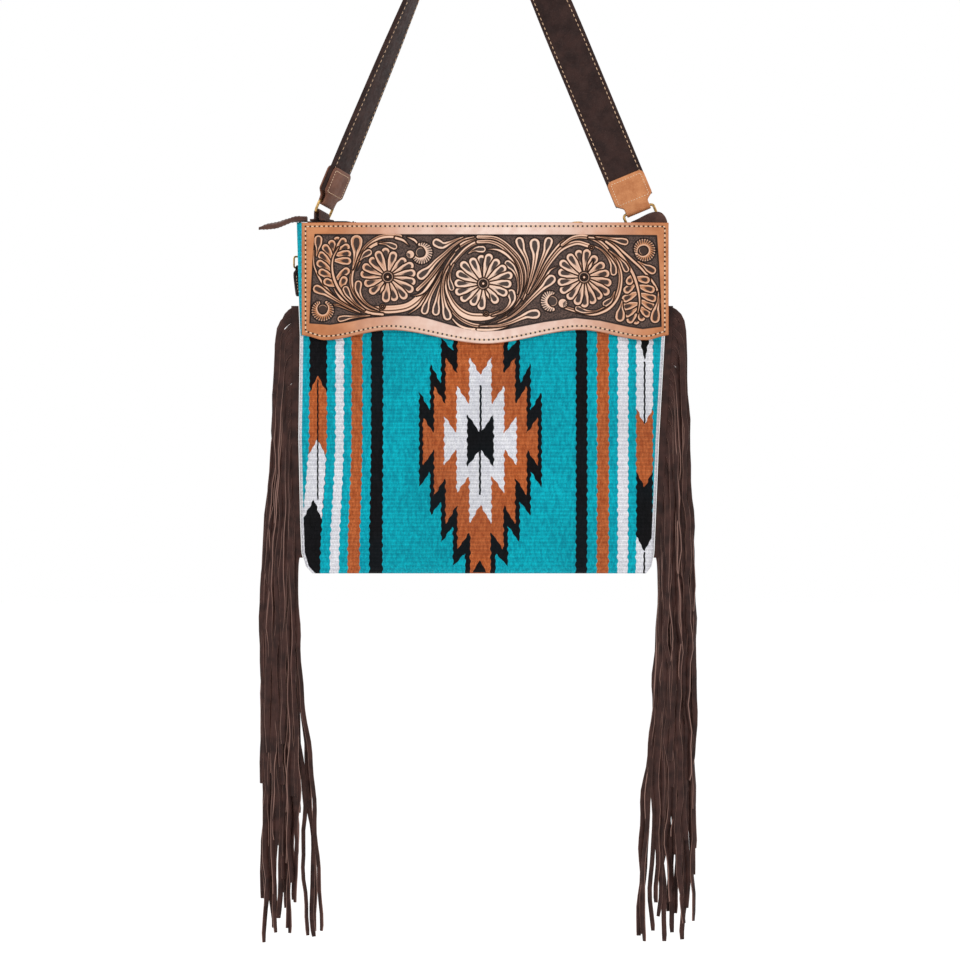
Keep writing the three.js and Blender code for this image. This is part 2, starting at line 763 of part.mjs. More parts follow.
function pocketStation(down, lift, width, thickness) {
  const centre = bodyPoint(1, POCKET_ACROSS, down);
  const beside = bodyPoint(1, POCKET_ACROSS - 0.004, down).sub(bodyPoint(1, POCKET_ACROSS + 0.004, down));
  const across = beside.normalize();
  const normal = new THREE.Vector3().crossVectors(across, UPWARDS);
  if (normal.y < 0) {
    normal.negate();
  }
  centre.addScaledVector(normal, lift + thickness / 2);
  return { centre, across, normal, width, thickness };
}

function pocketZipper() {
  const steps = 8;
  return strip(Array.from({ length: steps + 1 }, (_, i) => {
    const down = POCKET_TOP_DOWN + (i / steps) * (POCKET_LENGTH / BODY_HEIGHT);
    return pocketStation(down, 3 * CLEARANCE, POCKET_TAPE_WIDTH, POCKET_TAPE_THICKNESS);
  }));
}

const pocketSeat = pocketStation(POCKET_SLIDER_DOWN, 3 * CLEARANCE, POCKET_TAPE_WIDTH, POCKET_TAPE_THICKNESS);
const pocketSurface = pocketSeat.centre.clone()
  .addScaledVector(pocketSeat.normal, POCKET_TAPE_THICKNESS / 2 + 2 * CLEARANCE);
const eyeRadius = POCKET_RING_WIRE + CLEARANCE;
const eyeCentre = pocketSurface.clone().addScaledVector(pocketSeat.normal, POCKET_SLIDER_HEIGHT + eyeRadius * 0.6);
const pocketRingCentre = eyeCentre.clone().addScaledVector(UPWARDS, -POCKET_RING_HALF_HEIGHT);
const pullBar = pocketRingCentre.clone().addScaledVector(UPWARDS, -POCKET_RING_HALF_HEIGHT);

function pocketSlider() {
  const body = sliderBody(POCKET_SLIDER_LENGTH, POCKET_SLIDER_WIDTH, POCKET_SLIDER_HEIGHT,
    pocketSurface, UPWARDS, pocketSeat.normal);
  const eye = wireRing(eyeCentre, UPWARDS, pocketSeat.normal, eyeRadius + POCKET_RING_WIRE / 2,
    eyeRadius + POCKET_RING_WIRE / 2, eyeRadius, POCKET_RING_WIRE * 0.8);
  return toGeometry(toSolid(body).add(toSolid(eye)));
}

function pocketRing() {
  return wireRing(pocketRingCentre, pocketSeat.across, UPWARDS, POCKET_RING_HALF_WIDTH,
    POCKET_RING_HALF_HEIGHT, POCKET_RING_CORNER, POCKET_RING_WIRE);
}

function pocketPull() {
  const bend = POCKET_RING_WIRE / 2 + CLEARANCE + PULL_PLY / 2;
  const hang = UPWARDS.clone().negate();
  const shut = (PULL_PLY + CLEARANCE) / 2;
  const ply = PULL_SECTIONS.map(({ down, width, open }) => (
    { a: down * PULL_LENGTH, b: shut + (bend - shut) * open, width: width * PULL_WIDTH }));
  const farPly = ply.map(({ a, b, width }) => ({ a, b: -b, width }));
  const path = [...ply.reverse(), ...foldBend(bend, PULL_SECTIONS[0].width * PULL_WIDTH), ...farPly];
  return fold(path, pullBar, hang, pocketSeat.normal, pocketSeat.across, PULL_PLY);
}

// Fringes

function seamEdge(side, down) {
  const { middle, half } = bodyReach(down);
  return middle + side * half;
}

function fringeHead(side) {
  const rows = endPlaces(BODY_ROWS).filter((down) => down > FRINGE_TOP_DOWN && down < FRINGE_BOTTOM_DOWN);
  const downs = [FRINGE_TOP_DOWN, ...rows, FRINGE_BOTTOM_DOWN];
  return strip(downs.map((down) => ({
    centre: new THREE.Vector3(
      seamEdge(side, down) + side * (2 * CLEARANCE + HEAD_WIDTH / 2),
      0,
      -BAG_DROP - down * BODY_HEIGHT,
    ),
    across: RIGHTWARDS,
    normal: BACKWARDS,
    width: HEAD_WIDTH,
    thickness: HEAD_THICKNESS,
  })));
}

function thong(side, index) {
  const share = index / (THONG_COUNT - 1);
  const attach = FRINGE_TOP_DOWN + (FRINGE_BOTTOM_DOWN - FRINGE_TOP_DOWN) * (0.01 + 0.98 * share);
  const top = -BAG_DROP - attach * BODY_HEIGHT;
  const tip = -BAG_DROP - FRINGE_TOP_DOWN * BODY_HEIGHT
    - FRINGE_REACH * THONG_TIPS[(index * 5 + (side > 0 ? 4 : 0)) % THONG_TIPS.length];
  const start = seamEdge(side, attach) + side * (2 * CLEARANCE + HEAD_WIDTH * 0.6);
  const lane = seamEdge(side, FRINGE_BOTTOM_DOWN) + side * (2 + FRINGE_SPAN * (1 - share));
  const bow = side * FRINGE_BOW * (1.15 - share);
  const layer = ((index % 3) - 1) * FRINGE_LAYER;
  const stray = FRINGE_STRAY * share ** STRAY_POWER;
  const turn = THREE.MathUtils.degToRad(THONG_TURN + THONG_TURN_SPREAD * Math.sin(index * 2.4));
  const length = top - tip;
  const drops = [...THONG_STEPS, ...THONG_SHARES.map((part) => part * length)];
  const place = (drop) => {
    const bowed = bow * (1 - Math.exp(-drop / FRINGE_BOW_DROP));
    const drift = (lane - start - bow) * THREE.MathUtils.smoothstep(drop, 0, FRINGE_SETTLE);
    const settle = Math.min(1, drop / length);
    const sway = FRINGE_SWAY * Math.sin(5 * settle + index * 1.7) * settle;
    return new THREE.Vector3(
      start + bowed + drift + sway - side * stray * settle,
      layer * Math.min(1, drop / LAYER_DROP) + FRINGE_SWAY * Math.sin(4 * settle + index * 2.3) * settle,
      top - drop,
    );
  };
  return strip(drops.map((drop, i) => {
    const along = place(drops[Math.min(i + 1, drops.length - 1)])
      .sub(place(drops[Math.max(i - 1, 0)]))
      .normalize();
    const beside = new THREE.Vector3().crossVectors(along, BACKWARDS).normalize();
    const angle = turn * Math.min(1, drop / TURN_DROP);
    const facing = new THREE.Vector3().crossVectors(beside, along).normalize();
    return {
      centre: place(drop),
      across: beside.clone().multiplyScalar(Math.cos(angle)).addScaledVector(facing, Math.sin(angle)),
      normal: facing.clone().multiplyScalar(Math.cos(angle)).addScaledVector(beside, -Math.sin(angle)),
      width: THONG_WIDTH,
      thickness: THONG_THICKNESS,
    };
  }));
}

function fringe(side) {
  const thongs = Array.from({ length: THONG_COUNT }, (_, index) => toSolid(thong(side, index)));
  return toGeometry(joinAll([toSolid(fringeHead(side)), ...thongs]));
}

addPiece('front_panel', panel(-1), CLOTH);
addPiece('back_panel', panel(1), CLOTH);
addPiece('tooled_yoke', tooledYoke(), TAN_LEATHER);
addPiece('zipper_band', zipperBand(), DARK_LEATHER);
addPiece('zipper_teeth', zipperTeeth(), ZIP_BLACK);
addPiece('zipper_slider', zipperSlider(), BRASS);
addPiece('zipper_tail', zipperTail(), DARK_LEATHER);
addPiece('strap', strap(), DARK_LEATHER);
for (const [name, side] of [['left', -1], ['right', 1]]) {
  addPiece(`strap_tab_${name}`, strapTab(side), TAN_LEATHER);
  addPiece(`ring_${name}`, strapRing(side), BRASS);
  addPiece(`ring_anchor_${name}`, ringAnchor(side), DARK_LEATHER);
  addPiece(`fringe_${name}`, fringe(side), DARK_LEATHER);
}
addPiece('pocket_zipper', pocketZipper(), ZIP_BLACK);
addPiece('pocket_slider', pocketSlider(), BRASS);
addPiece('pocket_ring', pocketRing(), BRASS);
addPiece('pocket_pull', pocketPull(), DARK_LEATHER);

export default bag;
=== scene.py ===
"""Woven shoulder bag with a floral tooled yoke, thong fringes and a leather strap.

Lengths are in millimetres until a mesh is written, with +Z up and the front towards -Y.
Drawings on the yoke and the cloth use chart units of 0.95 mm, x to the right and y downwards.
"""
import math

import bmesh
import bpy
import numpy as np
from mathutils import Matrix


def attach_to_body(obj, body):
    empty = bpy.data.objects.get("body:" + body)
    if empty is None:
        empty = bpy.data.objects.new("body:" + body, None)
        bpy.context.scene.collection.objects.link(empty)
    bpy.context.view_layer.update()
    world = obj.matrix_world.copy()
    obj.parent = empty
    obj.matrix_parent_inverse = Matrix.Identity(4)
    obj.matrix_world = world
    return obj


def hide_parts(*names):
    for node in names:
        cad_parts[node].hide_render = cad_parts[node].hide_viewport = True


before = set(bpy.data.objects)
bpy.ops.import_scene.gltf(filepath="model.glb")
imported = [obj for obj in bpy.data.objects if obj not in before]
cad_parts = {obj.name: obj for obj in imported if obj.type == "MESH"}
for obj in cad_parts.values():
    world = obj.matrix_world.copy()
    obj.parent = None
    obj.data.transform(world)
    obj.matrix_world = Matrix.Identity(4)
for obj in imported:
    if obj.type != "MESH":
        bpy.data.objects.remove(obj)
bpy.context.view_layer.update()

METRES = 0.001
UNIT = 0.95
CHART_X = 481.0
CHART_TOP = 222.37

CLEARANCE = 0.3
BAG_DROP = 338.0
BODY_HALF_WIDTH = 176.0
BODY_HEIGHT = 334.0
BODY_DEPTH = 34.0
CLOTH_THICKNESS = 3.0
BACK_RISE = 1.5
FOOT_POWER = 14
# How far down, half widths to the left and right, depth, and squareness of the section there
BODY_SECTIONS = np.array([
    (0.0, 1.0, 1.0, 0.88, 12), (0.22, 0.988, 1.0, 0.86, 8), (0.32, 0.98, 0.995, 0.9, 6),
    (0.61, 0.988, 0.964, 1.0, 6), (0.85, 0.978, 0.945, 0.97, 6), (0.94, 0.972, 0.938, 0.92, 6),
    (0.98, 0.95, 0.925, 0.9, 6), (1.0, 0.915, 0.895, 0.88, 6)])

RIBS = 90
RIB_HEIGHT = BODY_HEIGHT / RIBS
RIB_RELIEF = 0.5
WEAVE_WAVE = 0.45
STROKE_WIDTH = 1.5
SELVAGE_WIDTH = 2.9
STEPS_PER_RIB = 3
FRONT_COLUMNS = 336
BACK_COLUMNS = 210

YOKE_HALF_WIDTH = 174.5
YOKE_SHIFT = 4.0
YOKE_DROP = 107.0
YOKE_THICKNESS = 3.2
YOKE_CURL = 0.3
YOKE_EDGE = [(0, 1.078), (0.52, 0.955), (0.875, 1.045), (1, 0.998)]
TOOLING_DEPTH = 1.1
GROOVE_DEPTH = 0.3
GROOVE_HALF_WIDTH = 0.35
GROOVE_FADE = 0.8
STEM_ROOT = 0.9
SEAM_INSET = 3.7
SEAM_PITCH = 4.47
YOKE_HALF_COLUMNS = 400
YOKE_ROWS = 232

PEG_RADIUS = 19.0
STRAP_WIDTH = 37.3
STRAP_THICKNESS = 4.0
STRAP_SEAM_INSET = 3.2
SPREAD = math.radians(22.6)
STRAP_TURNS = {-1: [(0, 0), (0.33, 10), (0.65, 19), (1, 24)],
               1: [(0, 0), (0.33, 60), (0.65, 84), (1, 90)]}
RING_INNER_WIDTH = 28.0
RING_INNER_HEIGHT = 9.0
RING_CORNER = 2.8
RING_WIRE = 2.6
BAR_LIFT = 6.9
TAB_PLY = 1.8
TAB_NECK_WIDTH = 24.0
TAB_NECK_LENGTH = 9.5
TAB_BODY_LENGTH = 25.0
TAB_CORNER = 5.0
ANCHOR_PLY = 2.0
ANCHOR_WIDTH = 22.0
ANCHOR_FOOT = 5.0

BAND_PROUD = 0.3
BAND_THICKNESS = 2.0
BAND_RECESS = 6.0
BAND_RISE_START = 0.6
BAND_RISE_END = 0.75
TEETH_END_INSET = 38.0
TEETH_HEIGHT = 1.6
TEETH_PITCH = 1.9
GUSSET_SEAM = 5.5
SLIDER_LENGTH = 13.0
SLIDER_WIDTH = 9.0
SLIDER_HEIGHT = 4.0
SLIDER_ACROSS = 0.52
# Place along, width and height of the slider towards its wide end, as shares
SLIDER_SECTIONS = [(-0.5, 0.55, 0.5), (-0.3, 0.75, 0.9), (0.1, 1.0, 1.0), (0.4, 0.95, 0.9),
                   (0.5, 0.7, 0.6)]
TAIL_LENGTH = 46.0
TAIL_WIDTH = 22.0
TAIL_THICKNESS = 4.5
TAIL_OVERLAP = 10.0
TAIL_SEAM_INSET = 2.4
# Place along, rise and width of the tail as shares, and the lean of its face in degrees
TAIL_SECTIONS = [(0.0, 0.0, 0.75, 0), (0.24, 0.0, 0.95, 2), (0.42, -0.05, 1.0, 8),
                 (0.62, -0.12, 0.95, 10), (0.85, -0.155, 0.9, 8), (1.0, -0.19, 0.7, 6)]

POCKET_ACROSS = -0.97
POCKET_TOP_DOWN = 0.06
POCKET_SLIDER_DOWN = 0.095
POCKET_LENGTH = 230.0
POCKET_TAPE_WIDTH = 8.0
POCKET_TAPE_THICKNESS = 1.6
POCKET_SLIDER_LENGTH = 11.0
POCKET_SLIDER_WIDTH = 7.0
POCKET_SLIDER_HEIGHT = 3.0
POCKET_RING_HALF_WIDTH = 6.5
POCKET_RING_HALF_HEIGHT = 5.5
POCKET_RING_CORNER = 2.2
POCKET_RING_WIRE = 1.8
PULL_LENGTH = 27.0
PULL_WIDTH = 13.0
PULL_PLY = 1.5
PULL_SEAM_INSET = 1.7
# Place down, width and opening of the pull's plies, as shares
PULL_SECTIONS = [(0.05, 0.58, 1.0), (0.2, 1.0, 0.1), (0.6, 0.85, 0.0), (1.0, 0.6, 0.0)]

FRINGE_TOP_DOWN = 0.235
FRINGE_BOTTOM_DOWN = 0.955
FRINGE_REACH = 613.0
FRINGE_SPAN = 37.0
FRINGE_BOW = 13.0
BOW_DROP = 6.0
FRINGE_SETTLE = 300.0
# Inward stray of the last thongs, counted from the lowest
STRAYS = {1: 16.0, 2: 10.0, 4: 13.0, 6: 7.0}
HEAD_WIDTH = 7.0
HEAD_THICKNESS = 3.0
THONG_COUNT = 50
THONG_WIDTHS = (3.9, 5.4)
THONG_THICKNESS = 1.6
THONG_PHASE = 6.28
# The paler cut edges, corner by corner round a thong
CUT_CORNERS = [1.0, 0.0, 0.0, 1.0, 1.0, 0.0, 0.0, 1.0]
FRINGE_SEEDS = {-1: 11, 1: 29}
THONG_TIPS = [0.77, 0.724, 0.86, 0.902, 0.812, 0.93, 0.972, 0.85, 0.7, 0.87, 0.95, 0.753, 1.0]


def unit(v):
    """Vectors scaled to length one along the last axis."""
    v = np.asarray(v, float)
    return v / np.maximum(np.linalg.norm(v, axis=-1, keepdims=True), 1e-9)


def smooth(t):
    t = np.clip(t, 0, 1)
    return t * t * (3 - 2 * t)


def chart(text):
    """Points of a drawing from text such as '10,20 30,40'."""
    return np.array([[float(n) for n in pair.split(",")] for pair in text.split()])


def curve(points, steps=6):
    """Smooth line through points, with that many steps between neighbours."""
    p = np.asarray(points, float)
    if len(p) < 3:
        t = np.linspace(0, 1, steps + 1)[:, None]
        return p[0] + (p[-1] - p[0]) * t
    p = np.vstack([2 * p[0] - p[1], p, 2 * p[-1] - p[-2]])
    rows = []
    for i in range(1, len(p) - 2):
        a, b, c, d = p[i - 1:i + 3]
        t = np.linspace(0, 1, steps, endpoint=False)[:, None]
        rows.append(0.5 * (2 * b + (c - a) * t + (2 * a - 5 * b + 4 * c - d) * t ** 2
                           + (3 * b - a - 3 * c + d) * t ** 3))
    return np.vstack(rows + [p[-2:-1]])


# Meshes

def grid_faces(rows, columns, start=0):
    r, c = np.meshgrid(np.arange(rows - 1), np.arange(columns - 1), indexing="ij")
    a = (start + r * columns + c).ravel()
    return np.stack([a, a + columns, a + columns + 1, a + 1], axis=1)


def zip_lines(a, b):
    """Triangles between two lines of point numbers that run side by side."""
    i = j = 0
    faces = []
    while i < len(a) - 1 or j < len(b) - 1:
        if j == len(b) - 1 or (i < len(a) - 1 and (i + 1) * (len(b) - 1) <= (j + 1) * (len(a) - 1)):
            faces.append((a[i], a[i + 1], b[j]))
            i += 1
        else:
            faces.append((a[i], b[j + 1], b[j]))
            j += 1
    return faces


def closed_sheet(front, back):
    """Closed solid between two grids of points, rows by columns, that may differ in count."""
    tris = []
    numbers = [np.arange(g.shape[0] * g.shape[1]).reshape(g.shape[:2]) for g in (front, back)]
    numbers[1] = numbers[1] + numbers[0].size
    f, b = numbers
    for line, other in [(f[0], b[0]), (f[:, -1], b[:, -1]), (f[-1], b[-1]), (f[:, 0], b[:, 0])]:
        tris += zip_lines(line, other)
    quads = np.vstack([grid_faces(*f.shape), grid_faces(*b.shape, start=f.size)])
    points = np.vstack([front.reshape(-1, 3), back.reshape(-1, 3)])
    return points, quads, np.array(tris)


def lofted(rings, is_ring=False):
    """Closed solid through sections of equal count, shape (stations, corners, 3)."""
    n, m = rings.shape[:2]
    i, j = np.meshgrid(np.arange(n if is_ring else n - 1), np.arange(m), indexing="ij")
    i, j = i.ravel(), j.ravel()
    k = (j + 1) % m
    following = ((i + 1) % n) * m
    quads = np.stack([i * m + j, following + j, following + k, i * m + k], axis=1)
    tris = np.zeros((0, 3), int)
    if not is_ring:
        fan = np.array([(0, c, c + 1) for c in range(1, m - 1)])
        tris = np.vstack([fan, fan[:, ::-1] + (n - 1) * m])
    return rings.reshape(-1, 3), quads, tris


def rounded_section(widths, thicknesses, corner, steps=3, groove=0.0):
    """Sections (u, v) of a flat strip with rounded edges, one for each width and thickness."""
    widths = np.asarray(widths, float)[:, None]
    thicknesses = np.asarray(thicknesses, float)[:, None]
    r = np.minimum(corner, 0.49 * np.minimum(widths, thicknesses))
    u, v = [], []
    for sx, sy, start in [(1, 1, 0), (-1, 1, 90), (-1, -1, 180), (1, -1, 270)]:
        for step in range(steps + 1):
            turn = math.radians(start + 90 * step / steps)
            u.append(sx * (widths / 2 - r) + r * math.cos(turn))
            v.append(sy * (thicknesses / 2 - r) + r * math.sin(turn))
        if groove and start in (90, 270):
            u.append(sx * (widths / 2 - groove))
            v.append(0 * r)
    return np.concatenate(u, axis=1), np.concatenate(v, axis=1)


def ribbon(centres, across, normals, widths, thicknesses, corner=0.6, steps=3, groove=0.0):
    """Closed flat strip along centres."""
    n = len(centres)
    widths = np.broadcast_to(widths, n)
    thicknesses = np.broadcast_to(thicknesses, n)
    u, v = rounded_section(widths, thicknesses, corner, steps, groove)
    rings = (centres[:, None] + u[..., None] * unit(across)[:, None]
             + v[..., None] * unit(normals)[:, None])
    return lofted(rings)


def stitches(path, normals, pitch=4.5, share=0.62, radius=0.42, sink=0.1):
    """Short rounded threads along a line that lies on a surface."""
    path = np.asarray(path, float)
    steps = np.linalg.norm(np.diff(path, axis=0), axis=1)
    along = np.concatenate([[0], np.cumsum(steps)])
    count = max(1, int(round(along[-1] / pitch)))
    pitch = along[-1] / count
    places = (np.arange(count) + 0.5) * pitch
    offsets = np.array([-0.5, -0.36, 0, 0.36, 0.5]) * share * pitch
    thick = np.array([0.25, 0.85, 1.0, 0.85, 0.25]) * radius
    sides = 6
    parts = []
    for place in places:
        at = place + offsets
        spine = np.stack([np.interp(at, along, path[:, k]) for k in range(3)], axis=1)
        normal = unit(np.array([np.interp(place, along, normals[:, k]) for k in range(3)]))
        direction = unit(spine[-1] - spine[0])
        beside = unit(np.cross(direction, normal))
        spine = spine + normal * (thick[:, None] - radius * 0.35 - sink)
        turn = np.arange(sides) * 2 * math.pi / sides
        rings = (spine[:, None] + thick[:, None, None]
                 * (np.cos(turn)[None, :, None] * beside + np.sin(turn)[None, :, None] * normal))
        parts.append(lofted(rings))
    return parts


def joined(parts):
    points, quads, tris = [], [], []
    offset = 0
    for p, q, t in parts:
        points.append(p)
        quads.append(np.asarray(q, int).reshape(-1, 4) + offset)
        tris.append(np.asarray(t, int).reshape(-1, 3) + offset)
        offset += len(p)
    return np.vstack(points), np.vstack(quads), np.vstack(tris)


def piece(name, parts, material, nodes=(), values=None, sharp=50):
    """Mesh object from parts in millimetres, which rides on the root body."""
    points, quads, tris = joined(parts)
    mesh = bpy.data.meshes.new(name)
    mesh.vertices.add(len(points))
    mesh.vertices.foreach_set("co", (points * METRES).astype(np.float32).ravel())
    loops = np.concatenate([quads.ravel(), tris.ravel()])
    mesh.loops.add(len(loops))
    mesh.loops.foreach_set("vertex_index", loops)
    starts = np.concatenate([np.arange(len(quads)) * 4, len(quads) * 4 + np.arange(len(tris)) * 3])
    mesh.polygons.add(len(starts))
    mesh.polygons.foreach_set("loop_start", starts)
    mesh.update(calc_edges=True)
    mesh.validate()
    for key, numbers in (values or {}).items():
        layer = mesh.attributes.new(key, "FLOAT", "POINT")
        layer.data.foreach_set("value", np.asarray(numbers, np.float32))
    work = bmesh.new()
    work.from_mesh(mesh)
    bmesh.ops.recalc_face_normals(work, faces=work.faces)
    work.to_mesh(mesh)
    work.free()
    mesh.polygons.foreach_set("use_smooth", np.ones(len(mesh.polygons), bool))
    mesh.set_sharp_from_angle(angle=math.radians(sharp))
    mesh.materials.append(material)
    obj = bpy.data.objects.new(name, mesh)
    bpy.context.scene.collection.objects.link(obj)
    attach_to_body(obj, "root")
    if nodes:
        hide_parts(*nodes)
    return obj


# Materials

def srgb(r, g, b):
    """Linear colour from 0-255 display values."""
    return tuple(c / 12.92 if c <= 0.04045 else ((c + 0.055) / 1.055) ** 2.4
                 for c in (r / 255, g / 255, b / 255)) + (1.0,)


class Finish:
    """A material under construction, with short calls for its nodes."""

    def __init__(self, name, roughness=0.6, sheen=0.0, metallic=0.0, coat=0.0, specular=0.5):
        self.material = bpy.data.materials.new(name)
        self.material.use_nodes = True
        self.tree = self.material.node_tree
        self.shader = self.tree.nodes["Principled BSDF"]
        self.shader.inputs["Roughness"].default_value = roughness
        self.shader.inputs["Metallic"].default_value = metallic
        self.shader.inputs["Sheen Weight"].default_value = sheen
        self.shader.inputs["Coat Weight"].default_value = coat
        self.shader.inputs["Specular IOR Level"].default_value = specular
        self.point = self.tree.nodes.new("ShaderNodeTexCoord").outputs["Object"]
        split = self.tree.nodes.new("ShaderNodeSeparateXYZ")
        self.tree.links.new(self.point, split.inputs[0])
        self.x, self.y, self.z = split.outputs

    def set(self, socket, value):
        if isinstance(value, bpy.types.NodeSocket):
            self.tree.links.new(value, socket)
        else:
            socket.default_value = value

    def math(self, operation, a, b=0.0):
        node = self.tree.nodes.new("ShaderNodeMath")
        node.operation = operation
        for socket, value in zip(node.inputs, (a, b)):
            self.set(socket, value)
        return node.outputs[0]

    def value(self, name):
        node = self.tree.nodes.new("ShaderNodeAttribute")
        node.attribute_name = name
        return node.outputs["Fac"]

    def grey(self, value):
        node = self.tree.nodes.new("ShaderNodeCombineColor")
        for socket in node.inputs[:3]:
            self.tree.links.new(value, socket)
        return node.outputs[0]

    def noise(self, scale, detail=3.0, roughness=0.55, distortion=0.0, stretch=None):
        node = self.tree.nodes.new("ShaderNodeTexNoise")
        node.inputs["Scale"].default_value = scale
        node.inputs["Detail"].default_value = detail
        node.inputs["Roughness"].default_value = roughness
        node.inputs["Distortion"].default_value = distortion
        self.tree.links.new(self.stretched(stretch), node.inputs["Vector"])
        return node.outputs["Fac"]

    def cells(self, scale):
        node = self.tree.nodes.new("ShaderNodeTexVoronoi")
        node.inputs["Scale"].default_value = scale
        self.tree.links.new(self.point, node.inputs["Vector"])
        return node.outputs["Distance"]

    def stretched(self, stretch):
        if stretch is None:
            return self.point
        node = self.tree.nodes.new("ShaderNodeMapping")
        node.inputs["Scale"].default_value = stretch
        self.tree.links.new(self.point, node.inputs["Vector"])
        return node.outputs[0]

    def step(self, value, low, high, to_low=0.0, to_high=1.0):
        """Value mapped smoothly from low..high to to_low..to_high, and clamped."""
        node = self.tree.nodes.new("ShaderNodeMapRange")
        node.interpolation_type = "SMOOTHSTEP"
        self.set(node.inputs["Value"], value)
        for key, number in (("From Min", low), ("From Max", high),
                            ("To Min", to_low), ("To Max", to_high)):
            node.inputs[key].default_value = number
        return node.outputs[0]

    def mix(self, factor, a, b, blend="MIX"):
        node = self.tree.nodes.new("ShaderNodeMix")
        node.data_type = "RGBA"
        node.blend_type = blend
        self.set(node.inputs["Factor"], factor)
        self.set(node.inputs[6], a)
        self.set(node.inputs[7], b)
        return node.outputs[2]

    def bump(self, height, distance, strength):
        node = self.tree.nodes.new("ShaderNodeBump")
        node.inputs["Distance"].default_value = distance * METRES
        node.inputs["Strength"].default_value = strength
        self.set(node.inputs["Height"], height)
        return node.outputs[0]

    def finish(self, colour=None, roughness=None, normal=None):
        for key, value in (("Base Color", colour), ("Roughness", roughness), ("Normal", normal)):
            if value is not None:
                self.set(self.shader.inputs[key], value)
        return self.material


def woven_cloth():
    """Weft-faced weave: ribs across, each wrapped in short upright strokes of yarn."""
    f = Finish("woven_cloth", roughness=0.92, sheen=0.03, specular=0.1)
    rib = f.math("MULTIPLY", f.math("ADD", f.z, BAG_DROP * METRES), 1 / (RIB_HEIGHT * METRES))
    row = f.math("FLOOR", rib)
    wobble = f.math("MULTIPLY", f.math("SUBTRACT", f.noise(240, 2), 0.5), 0.9)
    lane = f.math("ADD", f.math("MULTIPLY", f.x, 1 / (STROKE_WIDTH * METRES)), wobble)
    lane = f.math("ADD", lane, f.math("MULTIPLY", row, 0.5))
    stroke = f.math("ABSOLUTE", f.math("SINE", f.math("MULTIPLY", lane, math.pi)))
    crest = f.math("ABSOLUTE", f.math("SINE", f.math("MULTIPLY", rib, math.pi)))
    yarn = f.math("MULTIPLY", f.math("POWER", stroke, 0.6), f.math("POWER", crest, 0.5))
    fuzz = f.noise(1500, 3, 0.7)
    tone = f.noise(420, 3, 0.6, stretch=(1, 1, 0.35))
    broad = f.noise(14, 2)

    def dyed(deep, mid, pale):
        body = f.mix(f.step(tone, 0.3, 0.72), srgb(*deep), srgb(*pale))
        return f.mix(0.5, body, srgb(*mid))

    colour = dyed((0, 118, 140), (0, 174, 194), (8, 204, 220))
    for key, tones in (
            ("under_black", ((4, 4, 5), (11, 10, 12), (24, 22, 26))),
            ("orange", ((142, 62, 26), (194, 98, 50), (216, 124, 70))),
            ("white", ((206, 206, 216), (238, 238, 246), (250, 250, 252))),
            ("over_black", ((4, 4, 5), (10, 9, 11), (22, 20, 24)))):
        colour = f.mix(f.step(f.value(key), -0.12, 0.12), colour, dyed(*tones))
    # Painted shade: the hollows between yarn strokes and between ribs are darkened. Fine dark lines every
    # half rib, with a little wobble, are drawn weave lines.
    uneven = f.math("MULTIPLY", f.noise(700, 2, 0.6), 0.5)
    turns = f.math("MULTIPLY", f.math("ADD", rib, uneven), 2 * math.pi)
    fine = f.math("ABSOLUTE", f.math("SINE", turns))
    seam = f.math("MULTIPLY", f.step(yarn, 0.0, 0.55, 0.55, 1.0), f.step(fine, 0.0, 0.7, 0.66, 1.0))
    colour = f.mix(1.0, colour, f.grey(seam), "MULTIPLY")
    colour = f.mix(f.step(broad, 0.3, 0.75, 0.0, 0.16), colour, srgb(0, 40, 50))
    height = f.math("ADD", yarn, f.math("MULTIPLY", fuzz, 0.35))
    return f.finish(colour, f.step(fuzz, 0.2, 0.8, 0.8, 0.96), f.bump(height, 0.8, 0.75))


